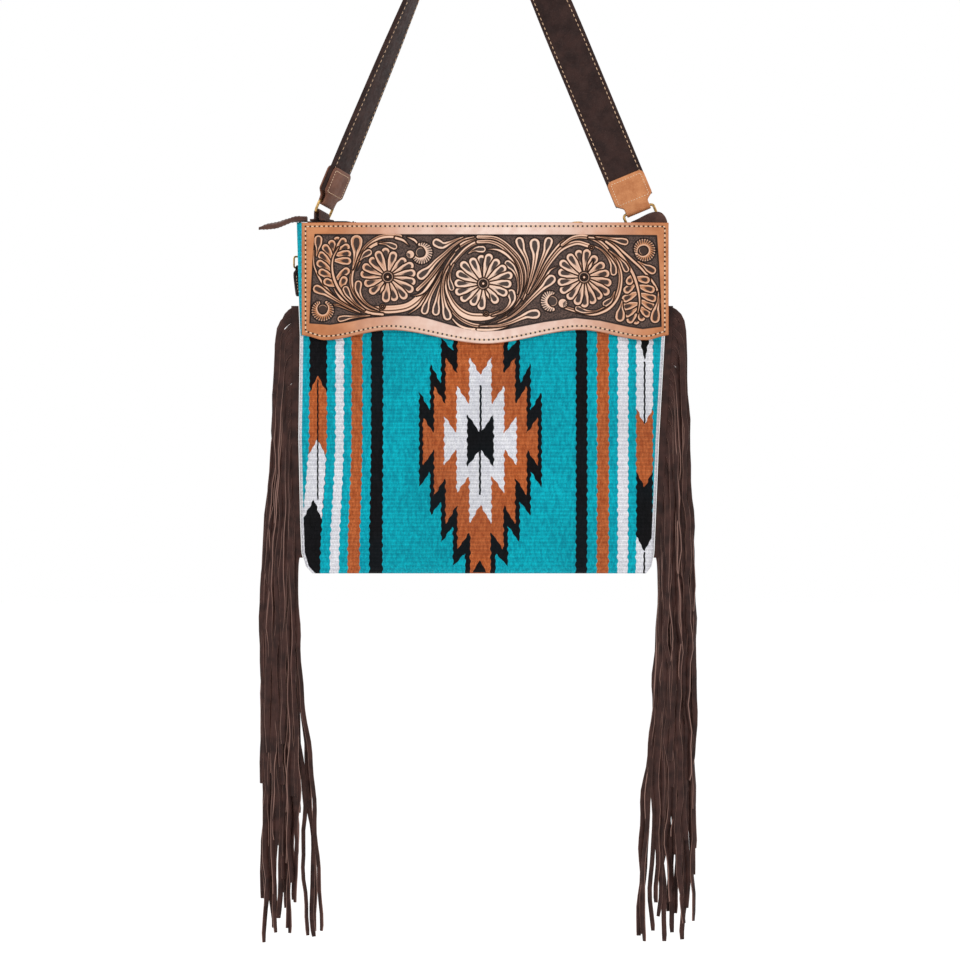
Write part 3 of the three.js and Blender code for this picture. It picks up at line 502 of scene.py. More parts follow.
def tooled_leather():
    """Vegetable-tanned leather, antiqued dark in its cuts and matted ground, with painted highlights on its
    middle and along the rims of carved strokes.
    """
    f = Finish("tooled_leather", roughness=0.42, coat=0.03, specular=0.2)
    # Painted highlight: plain and carved leather both turn paler towards the middle of the yoke, where the
    # front light falls, and keep a darker tan towards its ends.
    out = f.math("ABSOLUTE", f.math("ADD", f.x, -0.012))
    warm = f.mix(f.step(f.noise(60, 3), 0.3, 0.7), srgb(170, 106, 66), srgb(190, 126, 84))
    pale = f.mix(f.step(f.noise(90, 3), 0.3, 0.7), srgb(212, 180, 166), srgb(226, 202, 190))
    plain = f.mix(f.step(out, 0.02, 0.165), pale, warm)
    cut = f.mix(f.step(out, 0.03, 0.16), srgb(222, 190, 170), srgb(184, 124, 84))
    carved = f.math("GREATER_THAN", f.value("carved"), 0.5)
    colour = f.mix(carved, plain, cut)
    edge = f.value("edge")
    # Carved strokes keep the base tan right beside their outlines, and get a painted highlight a little
    # further in, along their raised rims.
    beside = f.math("MULTIPLY", f.step(edge, 0.9, 1.9, 1.0, 0.0), carved)
    colour = f.mix(f.math("MULTIPLY", beside, 0.75), colour, srgb(184, 124, 86))
    painted_rim_highlight = f.math("MULTIPLY", f.step(edge, 0.9, 1.5), f.step(edge, 1.8, 3.0, 1.0, 0.0))
    colour = f.mix(f.math("MULTIPLY", f.math("MULTIPLY", painted_rim_highlight, carved), 0.55), colour,
                   srgb(240, 206, 182))
    colour = f.mix(f.step(f.value("shade"), 0.04, 0.72, 0.0, 0.95), colour, srgb(38, 26, 25))
    speck = f.step(f.noise(900, 3, 0.7), 0.35, 0.62)
    ground = f.mix(speck, srgb(34, 25, 23), srgb(92, 71, 63))
    colour = f.mix(f.step(f.value("ground"), 0.35, 0.65), colour, ground)
    colour = f.mix(f.step(edge, 0.5, 1.3, 0.98, 0.0), colour, srgb(32, 19, 16))
    colour = f.mix(f.step(f.value("burnish"), 0.0, 1.0, 0.0, 0.75), colour, srgb(172, 96, 52))
    grain = f.cells(1500)
    pores = f.noise(2600, 4, 0.7)
    height = f.math("ADD", f.math("MULTIPLY", grain, 0.4), f.math("MULTIPLY", pores, 0.5))
    stipple = f.math("MULTIPLY", f.cells(760), f.value("ground"))
    height = f.math("ADD", height, f.math("MULTIPLY", stipple, 2.6))
    rough = f.step(f.noise(300, 3), 0.3, 0.7, 0.36, 0.5)
    return f.finish(colour, rough, f.bump(height, 0.22, 0.55))


def plain_leather(name, deep, mid, worn, roughness, grain_scale=1300, depth=0.2, sheen=0.0):
    f = Finish(name, roughness=roughness, sheen=sheen, specular=0.16)
    colour = f.mix(f.step(f.noise(70, 4, 0.6), 0.3, 0.7), srgb(*deep), srgb(*mid))
    colour = f.mix(f.step(f.noise(700, 4, 0.7), 0.52, 0.78, 0.0, 0.55), colour, srgb(*worn))
    grain = f.cells(grain_scale)
    crease = f.noise(420, 4, 0.65, distortion=0.6)
    height = f.math("ADD", f.math("MULTIPLY", grain, 0.6), f.math("MULTIPLY", crease, 0.9))
    rough = f.step(f.noise(240, 3), 0.3, 0.7, roughness - 0.08, roughness + 0.1)
    return f.finish(colour, rough, f.bump(height, depth, 0.6))


def thong_leather():
    """Dark oiled hide, with paler cut edges."""
    f = Finish("thong_leather", roughness=0.5, specular=0.16)
    colour = f.mix(f.step(f.noise(90, 3), 0.3, 0.7), srgb(38, 22, 19), srgb(62, 38, 33))
    streak = f.noise(900, 3, 0.6, stretch=(1, 1, 0.12))
    colour = f.mix(f.step(streak, 0.5, 0.75, 0.0, 0.3), colour, srgb(86, 58, 50))
    colour = f.mix(f.step(f.value("cut"), 0.4, 0.9, 0.0, 0.85), colour, srgb(140, 108, 98))
    height = f.math("ADD", f.cells(1500), f.noise(500, 4))
    return f.finish(colour, f.step(streak, 0.3, 0.7, 0.4, 0.6), f.bump(height, 0.2, 0.6))


def brass():
    f = Finish("antique_brass", roughness=0.3, metallic=1.0)
    tarnish = f.step(f.noise(260, 4, 0.65), 0.42, 0.7)
    colour = f.mix(tarnish, srgb(196, 158, 98), srgb(96, 70, 42))
    scratch = f.noise(1800, 3, 0.6, stretch=(1, 1, 0.2))
    return f.finish(colour, f.step(tarnish, 0, 1, 0.24, 0.46), f.bump(scratch, 0.05, 0.4))


def zipper_black():
    f = Finish("zipper_black", roughness=0.4, specular=0.25)
    colour = f.mix(f.step(f.noise(500, 3), 0.35, 0.7), srgb(12, 11, 12), srgb(34, 31, 32))
    return f.finish(colour, f.step(f.noise(900, 2), 0.3, 0.7, 0.34, 0.52),
                    f.bump(f.noise(2200, 3), 0.08, 0.5))


def thread(name, deep, pale):
    f = Finish(name, roughness=0.75, sheen=0.2, specular=0.3)
    twist = f.noise(2600, 2, 0.6)
    colour = f.mix(f.step(twist, 0.35, 0.65), srgb(*deep), srgb(*pale))
    return f.finish(colour, f.step(f.noise(400, 2), 0.3, 0.7, 0.68, 0.82), f.bump(twist, 0.12, 0.6))


CLOTH = woven_cloth()
TOOLED = tooled_leather()
TAN = plain_leather("tan_leather", (168, 104, 64), (196, 132, 88), (214, 156, 112), 0.45)
# The same tan leather darkened as painted shade, for the left tab that faces away from the light.
TAN_PAINTED_SHADE = plain_leather("tan_leather_painted_shade", (92, 56, 42), (118, 78, 62), (138, 98, 82), 0.5)
DARK = plain_leather("dark_leather", (34, 20, 18), (52, 33, 29), (76, 54, 48), 0.62)
SUEDE = plain_leather("suede_leather", (62, 42, 37), (88, 62, 54), (112, 84, 74), 0.85,
                      grain_scale=900, depth=0.3, sheen=0.1)
THONG = thong_leather()
BRASS = brass()
ZIP_BLACK = zipper_black()
PALE_THREAD = thread("pale_thread", (196, 160, 126), (236, 208, 178))
TAN_THREAD = thread("tan_thread", (168, 134, 104), (214, 182, 150))
DARK_THREAD = thread("dark_thread", (46, 32, 30), (84, 62, 56))


# Body

def body_row(down, column):
    return np.interp(down, BODY_SECTIONS[:, 0], BODY_SECTIONS[:, column])


def body_reach(down, inset=0.0):
    left = body_row(down, 1) * BODY_HALF_WIDTH - inset
    right = body_row(down, 2) * BODY_HALF_WIDTH - inset
    return (right - left) / 2, (right + left) / 2


def body_bulge(across, down, inset=0.0):
    fullest = BODY_DEPTH / 2 * body_row(down, 3) - CLEARANCE / 2 - inset
    sideways = np.sqrt(np.maximum(0, 1 - np.abs(across) ** body_row(down, 4)))
    downwards = np.sqrt(np.maximum(0, 1 - np.asarray(down, float) ** FOOT_POWER))
    return fullest * sideways * downwards


def body_point(side, across, down, inset=0.0, relief=0.0):
    middle, half = body_reach(down, inset)
    rise = BACK_RISE * (1 - down) if side > 0 else 0.0
    bulge = np.maximum(0, body_bulge(across, down, inset) + relief)
    x = middle + across * half
    y = side * (CLEARANCE / 2 + bulge) + 0 * x
    z = -BAG_DROP + rise - down * (BODY_HEIGHT + rise - inset) + 0 * x
    return np.stack([x, y, z], axis=-1)


def inside_box(x, left, right):
    return np.minimum(x - left, right - x)


def inside_outline(x, y, outline):
    """Signed distance to a closed outline, positive inside."""
    outline = np.asarray(outline, float)
    best = np.full(x.shape, 1e9)
    inside = np.zeros(x.shape, bool)
    for (x0, y0), (x1, y1) in zip(outline, np.roll(outline, -1, axis=0)):
        dx, dy = x1 - x0, y1 - y0
        t = np.clip(((x - x0) * dx + (y - y0) * dy) / (dx * dx + dy * dy + 1e-12), 0, 1)
        best = np.minimum(best, np.hypot(x - x0 - t * dx, y - y0 - t * dy))
        crosses = (y0 > y) != (y1 > y)
        at = x0 + (y - y0) * dx / (dy if dy else 1e-9)
        inside ^= crosses & (x < at)
    return np.where(inside, best, -best)


DIAMOND_MIDDLE = 480.4
# Columns of the stepped diamond: distance of the outer and inner sides from its middle, then the
# heights of the outer tip and inner notch above, and of the inner notch and outer tip below
BLACK_STEPS = [(61.3, 50, 391, 411, 471, 488), (50.3, 39, 362.5, 385, 500.6, 516.5),
               (39.4, 27, 337, 351.5, 525.3, 543), (27.5, 15, 300, 300, 553, 566.5),
               (15.2, 0, 300, 300, 590, 590)]
ORANGE_STEPS = [(57.5, 46.4, 417, 433.6, 449, 466), (46.4, 35.4, 385.5, 404, 478, 495.8),
                (34.9, 23.9, 357, 373, 505.4, 525), (23.1, 11.6, 300, 300, 533, 550),
                (10.2, 0, 300, 300, 590, 590)]
WHITE_STEPS = [(36.2, 23.9, 416, 433.6, 448.8, 465.5), (23.8, 11, 385, 405, 475, 493.4),
               (11.1, 0, 356.5, 375, 504.6, 524.3)]


def stepped_diamond(x, y, steps):
    """Union of the diamond's columns, mirrored about its middle. They overlap a little inwards."""
    out = np.abs(x - DIAMOND_MIDDLE)
    area = np.full(x.shape, -50.0)
    for outer, inner, tip, notch, low_notch, low_tip in steps:
        inward = inner - 1.2
        outline = [(outer, tip), (inner, notch), (inward, notch), (inward, low_notch),
                   (inner, low_notch), (outer, low_tip)]
        area = np.maximum(area, inside_outline(out, y, outline))
    return area


def feather(x, y, middle, half, levels):
    """Band area between two level lines, each (edge height, middle height)."""
    (top_edge, top_mid), (low_edge, low_mid) = levels
    return inside_outline(x, y, [
        (middle - half, top_edge), (middle, top_mid), (middle + half, top_edge),
        (middle + half, low_edge), (middle, low_mid), (middle - half, low_edge)])


def cloth_pattern(x_mm, z_mm, side):
    """Areas of dyed yarn on the cloth, as signed distances in millimetres."""
    rib = (z_mm + BAG_DROP) / RIB_HEIGHT
    middle, half = body_reach(np.clip(-(z_mm + BAG_DROP) / BODY_HEIGHT, 0, 1))
    selvage = SELVAGE_WIDTH - half + np.abs(x_mm - middle)
    steady = x_mm / UNIT + CHART_X + 0.25 * np.sin(math.pi * rib)
    x_mm = x_mm + WEAVE_WAVE * np.sin(math.pi * rib + 0.6)
    x_mm = x_mm + 0.3 * np.sin(2.1 * rib + x_mm * 0.04)
    x = x_mm / UNIT + CHART_X
    y = -(z_mm + BAG_DROP) / UNIT + CHART_TOP
    x = x + 9 * np.clip((390 - x) / 90, 0, 1) * smooth((y - 430) / 140)
    stripes = np.maximum(inside_box(x, 371, 383), inside_box(x, 576, 587.3))
    left_band = inside_box(x, 309.1, 326.6)
    right_band = inside_box(x, 636.7, 653.3)
    black = np.maximum(stripes, np.maximum(left_band, right_band))
    orange = np.maximum(inside_box(x, 351.5, 362.2), inside_box(x, 597.2, 608.8))
    white = np.maximum(inside_box(x, 335.4, 343.6), inside_box(x, 618, 628.4))
    white = np.maximum(white, np.minimum(selvage, y - np.where(x < CHART_X, 335, 300)))
    over = np.full(x.shape, -50.0)
    if side < 0:
        black = np.maximum(black, stepped_diamond(x, y, BLACK_STEPS))
        orange = np.maximum(orange, stepped_diamond(x, y, ORANGE_STEPS))
        orange = np.maximum(orange, feather(x, y, 317.6, 8.9, ((393, 375), (456, 439))))
        orange = np.maximum(orange, feather(x, y, 645, 8.4, ((408, 424.5), (471, 487.5))))
        white = np.maximum(white, stepped_diamond(x, y, WHITE_STEPS))
        white = np.maximum(white, feather(x, y, 317.2, 9, ((456, 439), (519.5, 499))))
        white = np.maximum(white, feather(x, y, 645, 8.4, ((320, 361.5), (408, 424.5))))
        white = np.maximum(white, feather(x, y, 645, 8.4, ((535.6, 552), (600, 600))))
        bow = [(13.2, 413.7), (0, 433.4), (-1, 441), (0, 448.8), (13.4, 467.4)]
        over = inside_outline(np.abs(x - DIAMOND_MIDDLE), y, bow)
        for middle, half, top, low in ((480.6, 1.05, 385, 434), (480, 1.0, 448, 495),
                                       (317.4, 0.8, 379, 500), (645, 0.9, 361, 424),
                                       (645, 0.9, 552, 600)):
            line = inside_box(steady, middle - half, middle + half)
            over = np.maximum(over, np.minimum(line, inside_box(y, top, low)))
        foot = inside_outline(x, y, [(472.5, 573), (479.5, 560), (487, 573)])
        over = np.maximum(over, foot)
    areas = {"under_black": black, "orange": orange, "white": white, "over_black": over}
    return {key: np.clip(area * UNIT, -3, 3) for key, area in areas.items()}


def side_places(count):
    """Places across the body, closer together where it turns in to its side seams."""
    ends = np.array([0.9905, 0.9945, 0.9972, 0.999, 1.0])
    return np.concatenate([-ends[::-1], np.linspace(-0.986, 0.986, count), ends])


def panel(name, side, node, columns):
    downs = np.linspace(0, 1, STEPS_PER_RIB * RIBS + 1)
    downs = np.sort(np.append(downs, [0.9985, 0.9993]))
    across, down = np.meshgrid(side_places(columns), downs)
    ribs = down * RIBS
    relief = -RIB_RELIEF * (1 - np.abs(np.sin(math.pi * ribs)) ** 0.7)
    sag = 0.7 * np.sin(across * 5.1 + down * 3) * np.sin(down * 6.3 + 0.4) - 0.7
    sag = sag + 0.35 * np.sin(across * 13 + down * 9 + side) * smooth(down * 3 - 1)
    fade = smooth((1 - np.abs(across)) * 12) * smooth((1 - down) * 18)
    outer = body_point(side, across, down, 0.0, (relief + sag) * fade)
    across_in, down_in = np.meshgrid(np.linspace(-1, 1, 41), np.linspace(0, 1, 25))
    inner = body_point(side, across_in, down_in, CLOTH_THICKNESS)
    values = cloth_pattern(outer[..., 0].ravel(), outer[..., 2].ravel(), side)
    values = {key: np.concatenate([v, np.full(inner.size // 3, -3.0)]) for key, v in values.items()}
    piece(name, [closed_sheet(outer, inner)], CLOTH, [node], values, sharp=75)


panel("front_cloth", -1, "front_panel", FRONT_COLUMNS)
panel("back_cloth", 1, "back_panel", BACK_COLUMNS)


# Yoke

def yoke_drop(out):
    keys = np.array(YOKE_EDGE)
    out = np.abs(out)
    i = np.clip(np.searchsorted(keys[:, 0], out, side="right") - 1, 0, len(keys) - 2)
    share = smooth((out - keys[i, 0]) / (keys[i + 1, 0] - keys[i, 0]))
    return YOKE_DROP * (keys[i, 1] + (keys[i + 1, 1] - keys[i, 1]) * share)


def yoke_seat(x, drop):
    down = drop / BODY_HEIGHT
    middle, half = body_reach(down)
    across = np.clip((x - middle) / half, -1, 1)
    out = np.abs(x - YOKE_SHIFT) / YOKE_HALF_WIDTH
    flat = body_bulge(0, down) * (1 - YOKE_CURL * out ** 6)
    return CLEARANCE / 2 + np.maximum(body_bulge(across, down), flat) + CLEARANCE


FIELD = chart("315,234.5 400,234.9 481,235 570,235.3 656.6,235.5 658.6,262 660.4,295 661.2,326.2 "
              "642.7,328.5 627.7,326.2 599.8,320.2 575,317.6 545,321.5 500,330.2 481.3,331 465.6,328.7 "
              "449.9,324.4 432.6,319.3 418.5,315.7 395,315.3 367.7,317.6 350,321.3 330,324.3 309.8,322.8 "
              "311,295 312.8,262")


class Carving:
    """Relief and colouring of the tooled field, drawn stroke by stroke in chart units."""

    def __init__(self, x, y):
        self.x = x
        self.y = y
        self.field = inside_outline(x, y, FIELD)
        self.height = np.where(self.field > 0, -TOOLING_DEPTH, 0.0) * smooth(self.field / 1.2 + 0.3)
        self.edge = np.abs(self.field - 0.2)
        self.ground = (self.field > 0.4).astype(float)
        self.shade = np.zeros(x.shape)
        self.carved = np.zeros(x.shape)

    def window(self, points, reach):
        """The part of the grid within reach of the points, or None."""
        low, high = points.min(axis=0) - reach, points.max(axis=0) + reach
        columns = np.where((self.x[0] > low[0]) & (self.x[0] < high[0]))[0]
        if not len(columns):
            return None
        rows = np.where((self.y[:, columns].max(axis=1) > low[1])
                        & (self.y[:, columns].min(axis=1) < high[1]))[0]
        if not len(rows):
            return None
        return np.s_[rows[0]:rows[-1] + 1, columns[0]:columns[-1] + 1]

    def measure(self, path, window):
        """Distance to a path, side of it, and place along it from 0 to 1."""
        x, y = self.x[window], self.y[window]
        steps = np.linalg.norm(np.diff(path, axis=0), axis=1)
        along = np.concatenate([[0], np.cumsum(steps)]) / max(steps.sum(), 1e-9)
        best = np.full(x.shape, 1e9)
        place = np.zeros(x.shape)
        side = np.ones(x.shape)
        for k in range(len(path) - 1):
            dx, dy = path[k + 1] - path[k]
            ex, ey = x - path[k, 0], y - path[k, 1]
            t = np.clip((ex * dx + ey * dy) / (dx * dx + dy * dy + 1e-9), 0, 1)
            far = np.hypot(ex - t * dx, ey - t * dy)
            nearer = far < best
            best = np.where(nearer, far, best)
            side = np.where(nearer, np.sign(dx * ey - dy * ex), side)
            place = np.where(nearer, along[k] + t * (along[k + 1] - along[k]), place)
        return best, side, place

    def stroke(self, path, widths, dome=0.9, lines=()):
        """Raised stroke. Its half width follows widths along the path, lines are shares of it."""
        path = np.asarray(path, float)
        window = self.window(path, max(widths) + 2.5)
        if window is None:
            return
        best, side, place = self.measure(path, window)
        half = np.interp(place, np.linspace(0, 1, len(widths)), widths)
        depth = half - best
        inside = (depth > 0) & (self.field[window] > -0.4)
        near = (depth <= 0) & (depth > -1.3) & (self.field[window] > 0)
        share = np.clip(depth / max(widths), 0, 1)
        height = -TOOLING_DEPTH + np.sqrt(np.clip(1 - (1 - share) ** 2, 0, 1)) * dome
        edge = 1.5 * depth
        for line in lines:
            off = np.abs(best * side - line * half) + GROOVE_HALF_WIDTH
            off = off + 3 * np.maximum(0, 0.12 - place)
            edge = np.minimum(edge, off)
            height = height - GROOVE_DEPTH * (1 - smooth((off - GROOVE_HALF_WIDTH) / GROOVE_FADE))
        for name, new in (("height", height), ("edge", edge), ("shade", 0.0),
                          ("ground", 0.0), ("carved", 1.0)):
            grid = getattr(self, name)
            grid[window] = np.where(inside, new, grid[window])
        outside = np.minimum(self.edge[window], -1.1 * depth)
        self.edge[window] = np.where(near, outside, self.edge[window])
        sunk = near & (depth > -0.8)
        self.height[window] = np.where(sunk, -TOOLING_DEPTH - GROOVE_DEPTH, self.height[window])

    def hollow(self, path, widths, dark=0.95, depth=0.5, fade=1.0):
        """Sunk and darkened teardrop inside a stroke."""
        path = np.asarray(path, float)
        window = self.window(path, max(widths) + 1.5)
        if window is None:
            return
        best, _, place = self.measure(path, window)
        half = np.interp(place, np.linspace(0, 1, len(widths)), widths)
        amount = smooth((half - best) / 0.7 + 0.4) * (self.field[window] > 0)
        amount = amount * np.interp(place, [0, 0.6, 1], [fade, 0.9, 1])
        self.shade[window] = np.maximum(self.shade[window], amount * dark)
        self.height[window] = self.height[window] - amount * depth

    def club(self, text, head):
        """Stem that swells into a round head with a dark teardrop in it. The head comes first."""
        path = curve(chart(text), 8)
        steps = np.linalg.norm(np.diff(path, axis=0), axis=1)
        far = np.concatenate([[0], np.cumsum(steps)])
        even = np.linspace(0, far[-1], 60)
        path = np.stack([np.interp(even, far, path[:, k]) for k in range(2)], axis=1)
        swell = np.interp(even, [0, 4, 9, 16, 26], [1.0, 0.94, 0.68, 0.5, 0.45]) * head
        fade = np.interp(even / far[-1], [0.3, 1.0], [1.0, 0.0])
        widths = STEM_ROOT + (swell - STEM_ROOT) * fade
        self.stroke(path, widths)
        tail = path[np.clip(np.searchsorted(even, np.linspace(6, far[-1] * 0.85, 30)), 0, 59)]
        window = self.window(tail, 2.5)
        if window is not None and far[-1] > 14:
            best, _, place = self.measure(tail, window)
            off = best + 0.4 + 1.2 * np.maximum(0, place - 0.6)
            carved = (self.carved[window] > 0) & (best < 1.6)
            nearer = np.minimum(self.edge[window], off)
            self.edge[window] = np.where(carved, nearer, self.edge[window])
        tip = path[0] - unit(path[1] - path[0]) * 0.6
        drop = np.vstack([tip, path[np.searchsorted(even, [2.5, 6, 10, 13]).clip(0, 59)]])
        self.hollow(drop[::-1], np.array([0.03, 0.16, 0.36, 0.5, 0.44]) * head, depth=0.55, fade=0.4)

    def petal(self, root, tip, half, dark=0.92):
        """Raised lobe with a dark core and two short cuts from its root."""
        root, tip = np.asarray(root, float), np.asarray(tip, float)
        way = unit(tip - root)
        length = np.linalg.norm(tip - root)
        top = tip - way * half * 0.85
        spine = curve([root, (root + top) / 2, top], 4)
        self.stroke(spine, [half * 0.35, half * 0.7, half, half], dome=0.8)
        start = root + way * length * 0.34
        self.hollow([start, start + way * length * 0.25, tip - way * half * 1.05],
                    np.array([0.05, 0.38, 0.52]) * half, dark, 0.5, 0.3)
        beside = np.array([-way[1], way[0]])
        for offset in (-0.3, 0.3):
            a = root + way * length * 0.12 + beside * half * offset * 0.4
            b = root + way * length * 0.5 + beside * half * offset
            self.hollow([a, b], [0.1, 0.28, 0.05], 0.6, 0.15)

    def disc(self, centre, radius, dark=0.0, dome=0.9):
        centre = np.asarray(centre, float)
        self.stroke(np.array([centre, centre + 0.05]), [radius, radius], dome=dome)
        if dark:
            self.hollow([centre, centre + 0.05], [radius - 1.0, radius - 1.0], dark, 0.3)

    def flower(self, centre, tips, half=4.5):
        centre = np.asarray(centre, float)
        self.disc(centre, 16, dome=0.5)
        for tip in tips:
            way = unit(np.asarray(tip, float) - centre)
            self.petal(centre + way * 5, tip + way * 1.9, half)
        self.disc(centre, 5.6, dark=0.95, dome=0.7)
        self.disc(centre, 3.1, dark=0.8, dome=0.9)
        self.disc(centre, 1.7, dome=1.1)

    def leaf(self, rib, tips, half=4.2):
        rib = curve(chart(rib))
        for tip in tips:
            tip = np.asarray(tip, float)
            nearest = np.argmin(np.linalg.norm(rib - tip, axis=1))
            root = rib[min(nearest + 6, len(rib) - 1)]
            self.petal((rib[nearest] + 2 * root) / 3, tip + unit(tip - root) * 1.2, half, dark=0.88)
        self.stroke(rib, [0.9, 1.7, 1.9, 1.6])

    def pod(self, centre, start, sweep, radius=8.2, half=3.8):
        """Dark seed with a curled band round it, cut with short radial lines."""
        centre = np.asarray(centre, float)
        turns = np.radians(np.linspace(start, start + sweep, 25))
        ring = centre + radius * np.stack([np.cos(turns), np.sin(turns)], axis=1)
        self.disc(centre, 5.4, dark=0.95, dome=0.5)
        self.stroke(ring, [half * 0.5, half, half, half, half * 0.6], dome=1.0)
        for turn in np.radians(start + math.copysign(1, sweep) * np.arange(4, abs(sweep), 14)):
            way = np.array([math.cos(turn), math.sin(turn)])
            twist = np.array([-way[1], way[0]])
            inner = centre + way * (radius - half * 0.3)
            outer = centre + way * (radius + half * 0.85) + twist * 1.4
            self.hollow([inner, outer], [0.25, 0.75, 0.85], 1.0, 0.5)

    def fan(self, centre, turn, radius):
        """Round boss cut with short rays on one side."""
        centre = np.asarray(centre, float)
        self.disc(centre, radius, dome=0.8)
        for spread in (-52, -26, 0, 26, 52):
            angle = math.radians(turn + spread)
            way = np.array([math.cos(angle), math.sin(angle)])
            self.hollow([centre, centre + way * (radius - 0.8)], [0.1, 0.45, 0.5], 0.95, 0.4)


# Bands of the scrolls: centre line, half widths along it, and lines cut in it as shares
BANDS = [
    ("485,329.3 470,329.2 459.8,325.8 453,319.4 447.5,311", (1.9, 1.7, 0.6), ()),
    ("527.7,315 517.5,320.3 503.9,326.6 490.2,329.6 478,329.6", (0.8, 1.9, 1.9), ()),
    ("400,236.6 388,236 378.3,238 368.5,244.3 362,252 356.8,260.5 352.9,269.6 351.3,278.7 352.3,287.8 "
     "356.8,296.3 364,304.2 373,309 384,309.6 397,309 408,306.5 417,300.5 425,292 432,282 438.7,272 "
     "446.8,260.7 455,250.5 463.2,243.7 473.4,239.2 485,237",
     (2.6, 2.3, 2.2, 2.4, 4.4, 4.2, 2.6, 2.4, 2.3), (0.25,)),
    ("394.5,246.4 386.7,243.4 378.3,243.4 370.5,247.3 364.6,254 360,262.5 357,270",
     (2.4, 2.0, 1.6, 0.5), ()),
    ("408.6,313.9 418.2,307.1 425.7,297.6 433.2,286 440,273", (0.7, 1.5, 1.6, 0.8), ()),
    ("410.7,295.8 417,295.2 423.6,291.8 430.5,283 437.3,271 446.8,257.3 458,246",
     (0.4, 1.8, 1.9, 1.7, 1.5), ()),
    ("417.5,289.6 427.7,279.8 437.3,268.2 446.8,256 458,245", (2.2, 1.9, 1.5, 0.9), (0.0,)),
    ("444.1,284 445.5,297.6 449.6,306.9 455,314 463.2,320.6 473.4,324.9 485,326 497.1,325 509.3,320",
     (0.7, 1.9, 2.1, 2.1, 1.5), (0.1,)),
    ("485,242.2 475.5,243 466.6,248.3 459.8,255 452.3,264 447.7,273 446.2,282 447.4,291 450.6,299 455,306 "
     "461.5,312.4 470,316.3 480,317.2 490.2,316.4 499,312.5", (2.2, 2.1, 2.0, 2.0, 2.4, 4.0, 4.2, 2.4),
     (-0.3,)),
    ("478,236.9 493.6,237.7 502.5,241.6 510.7,248.5 518.2,256.6 523,266.2 525,275.7 524.3,286 520.9,296.2 "
     "514.1,307.1 507.3,314.3 497.1,320.4 486.8,322.6", (2.0, 2.2, 2.0, 1.8, 0.6), (0.1,)),
    ("478,241.9 490.2,241.8 500.5,245.7 509.3,253.2 516.8,262.1 520.6,271.7 521.6,281.2 519.6,292.8 "
     "514.8,302.4 507.6,310.5 499,316", (2.0, 2.2, 2.0, 1.8, 1.0), (0.0,)),
    ("486.8,249.4 497.1,249.8 505.9,254.2 513,261.8 517.3,270.5 518.8,279", (0.6, 1.8, 1.4, 0.8), ()),
    ("596,236.8 582,236.4 571,238.4 561.9,243.7 555,251.2 548.2,260.7 542.1,271.7 536.6,282.6 530.5,292.8 "
     "522.3,303.7 514.1,311.9 503.9,318.7 490.2,323.5", (1.6, 2.6, 2.5, 2.3, 2.1, 1.0), (-0.1,)),
    ("588,245.4 578,242.8 569,245 560.5,249.8 553.7,257.3 546.8,266.9 541.4,277.1 534.6,288 527.1,297.6 "
     "518.2,307.1 508.6,315.3", (2.6, 2.6, 1.9, 1.7, 1.0), (0.1,)),
    ("557.1,266.6 550.3,270.3 545.5,277.8 540,286 532.5,295.5 523,305", (0.6, 1.8, 1.5, 0.8), ()),
    ("562,245 571.8,238.2 582.1,236.5 592.3,238.4 601.2,243.2 609.4,251.4 615.5,259.6 619.4,269 620.7,278.5 "
     "619.4,289.4 616.2,298.3 610.6,305.6 603.6,310.4 593.6,313.5 582.1,312.3 571.8,309.6 562,306.5",
     (1.8, 2.4, 2.3, 2.2, 2.5, 3.0, 2.4, 1.8), (0.15,)),
    ("588.9,237.4 603.2,239.2 614.2,244.8 624.4,253 633.3,261 640.1,267.1 646.9,274.6 653.1,282.1 "
     "657.2,289.6 659.6,298.3 659.8,318", (1.2, 1.6, 1.6, 1.5, 1.4), ()),
    ("313.8,250 313.6,263.1 315.9,270.9 320.4,279.8 326.9,288.9 334.7,297.2 343.8,304.3 355.5,312",
     (0.8, 1.2, 1.6, 1.6, 1.0), ()),
    ("332,284.6 337,293.4 345,302.4 354.2,309 366,314", (0.5, 1.6, 1.5, 0.8), ()),
    ("328,304.5 339.3,305.6 351,310.3 364,315", (1.2, 1.8, 1.4, 0.7), (0.0,)),
    ("407,237 414.5,240.2 418,245 418.6,250", (0.6, 1.6, 1.3, 0.8), ()),
    ("396,238 403.5,240.6 409.3,246", (1.8, 1.6, 0.4), ()),
    ("606,241.7 613,247.9 620.7,256 627,264.9 632,273", (0.6, 1.4, 1.4, 0.8), ()),
]
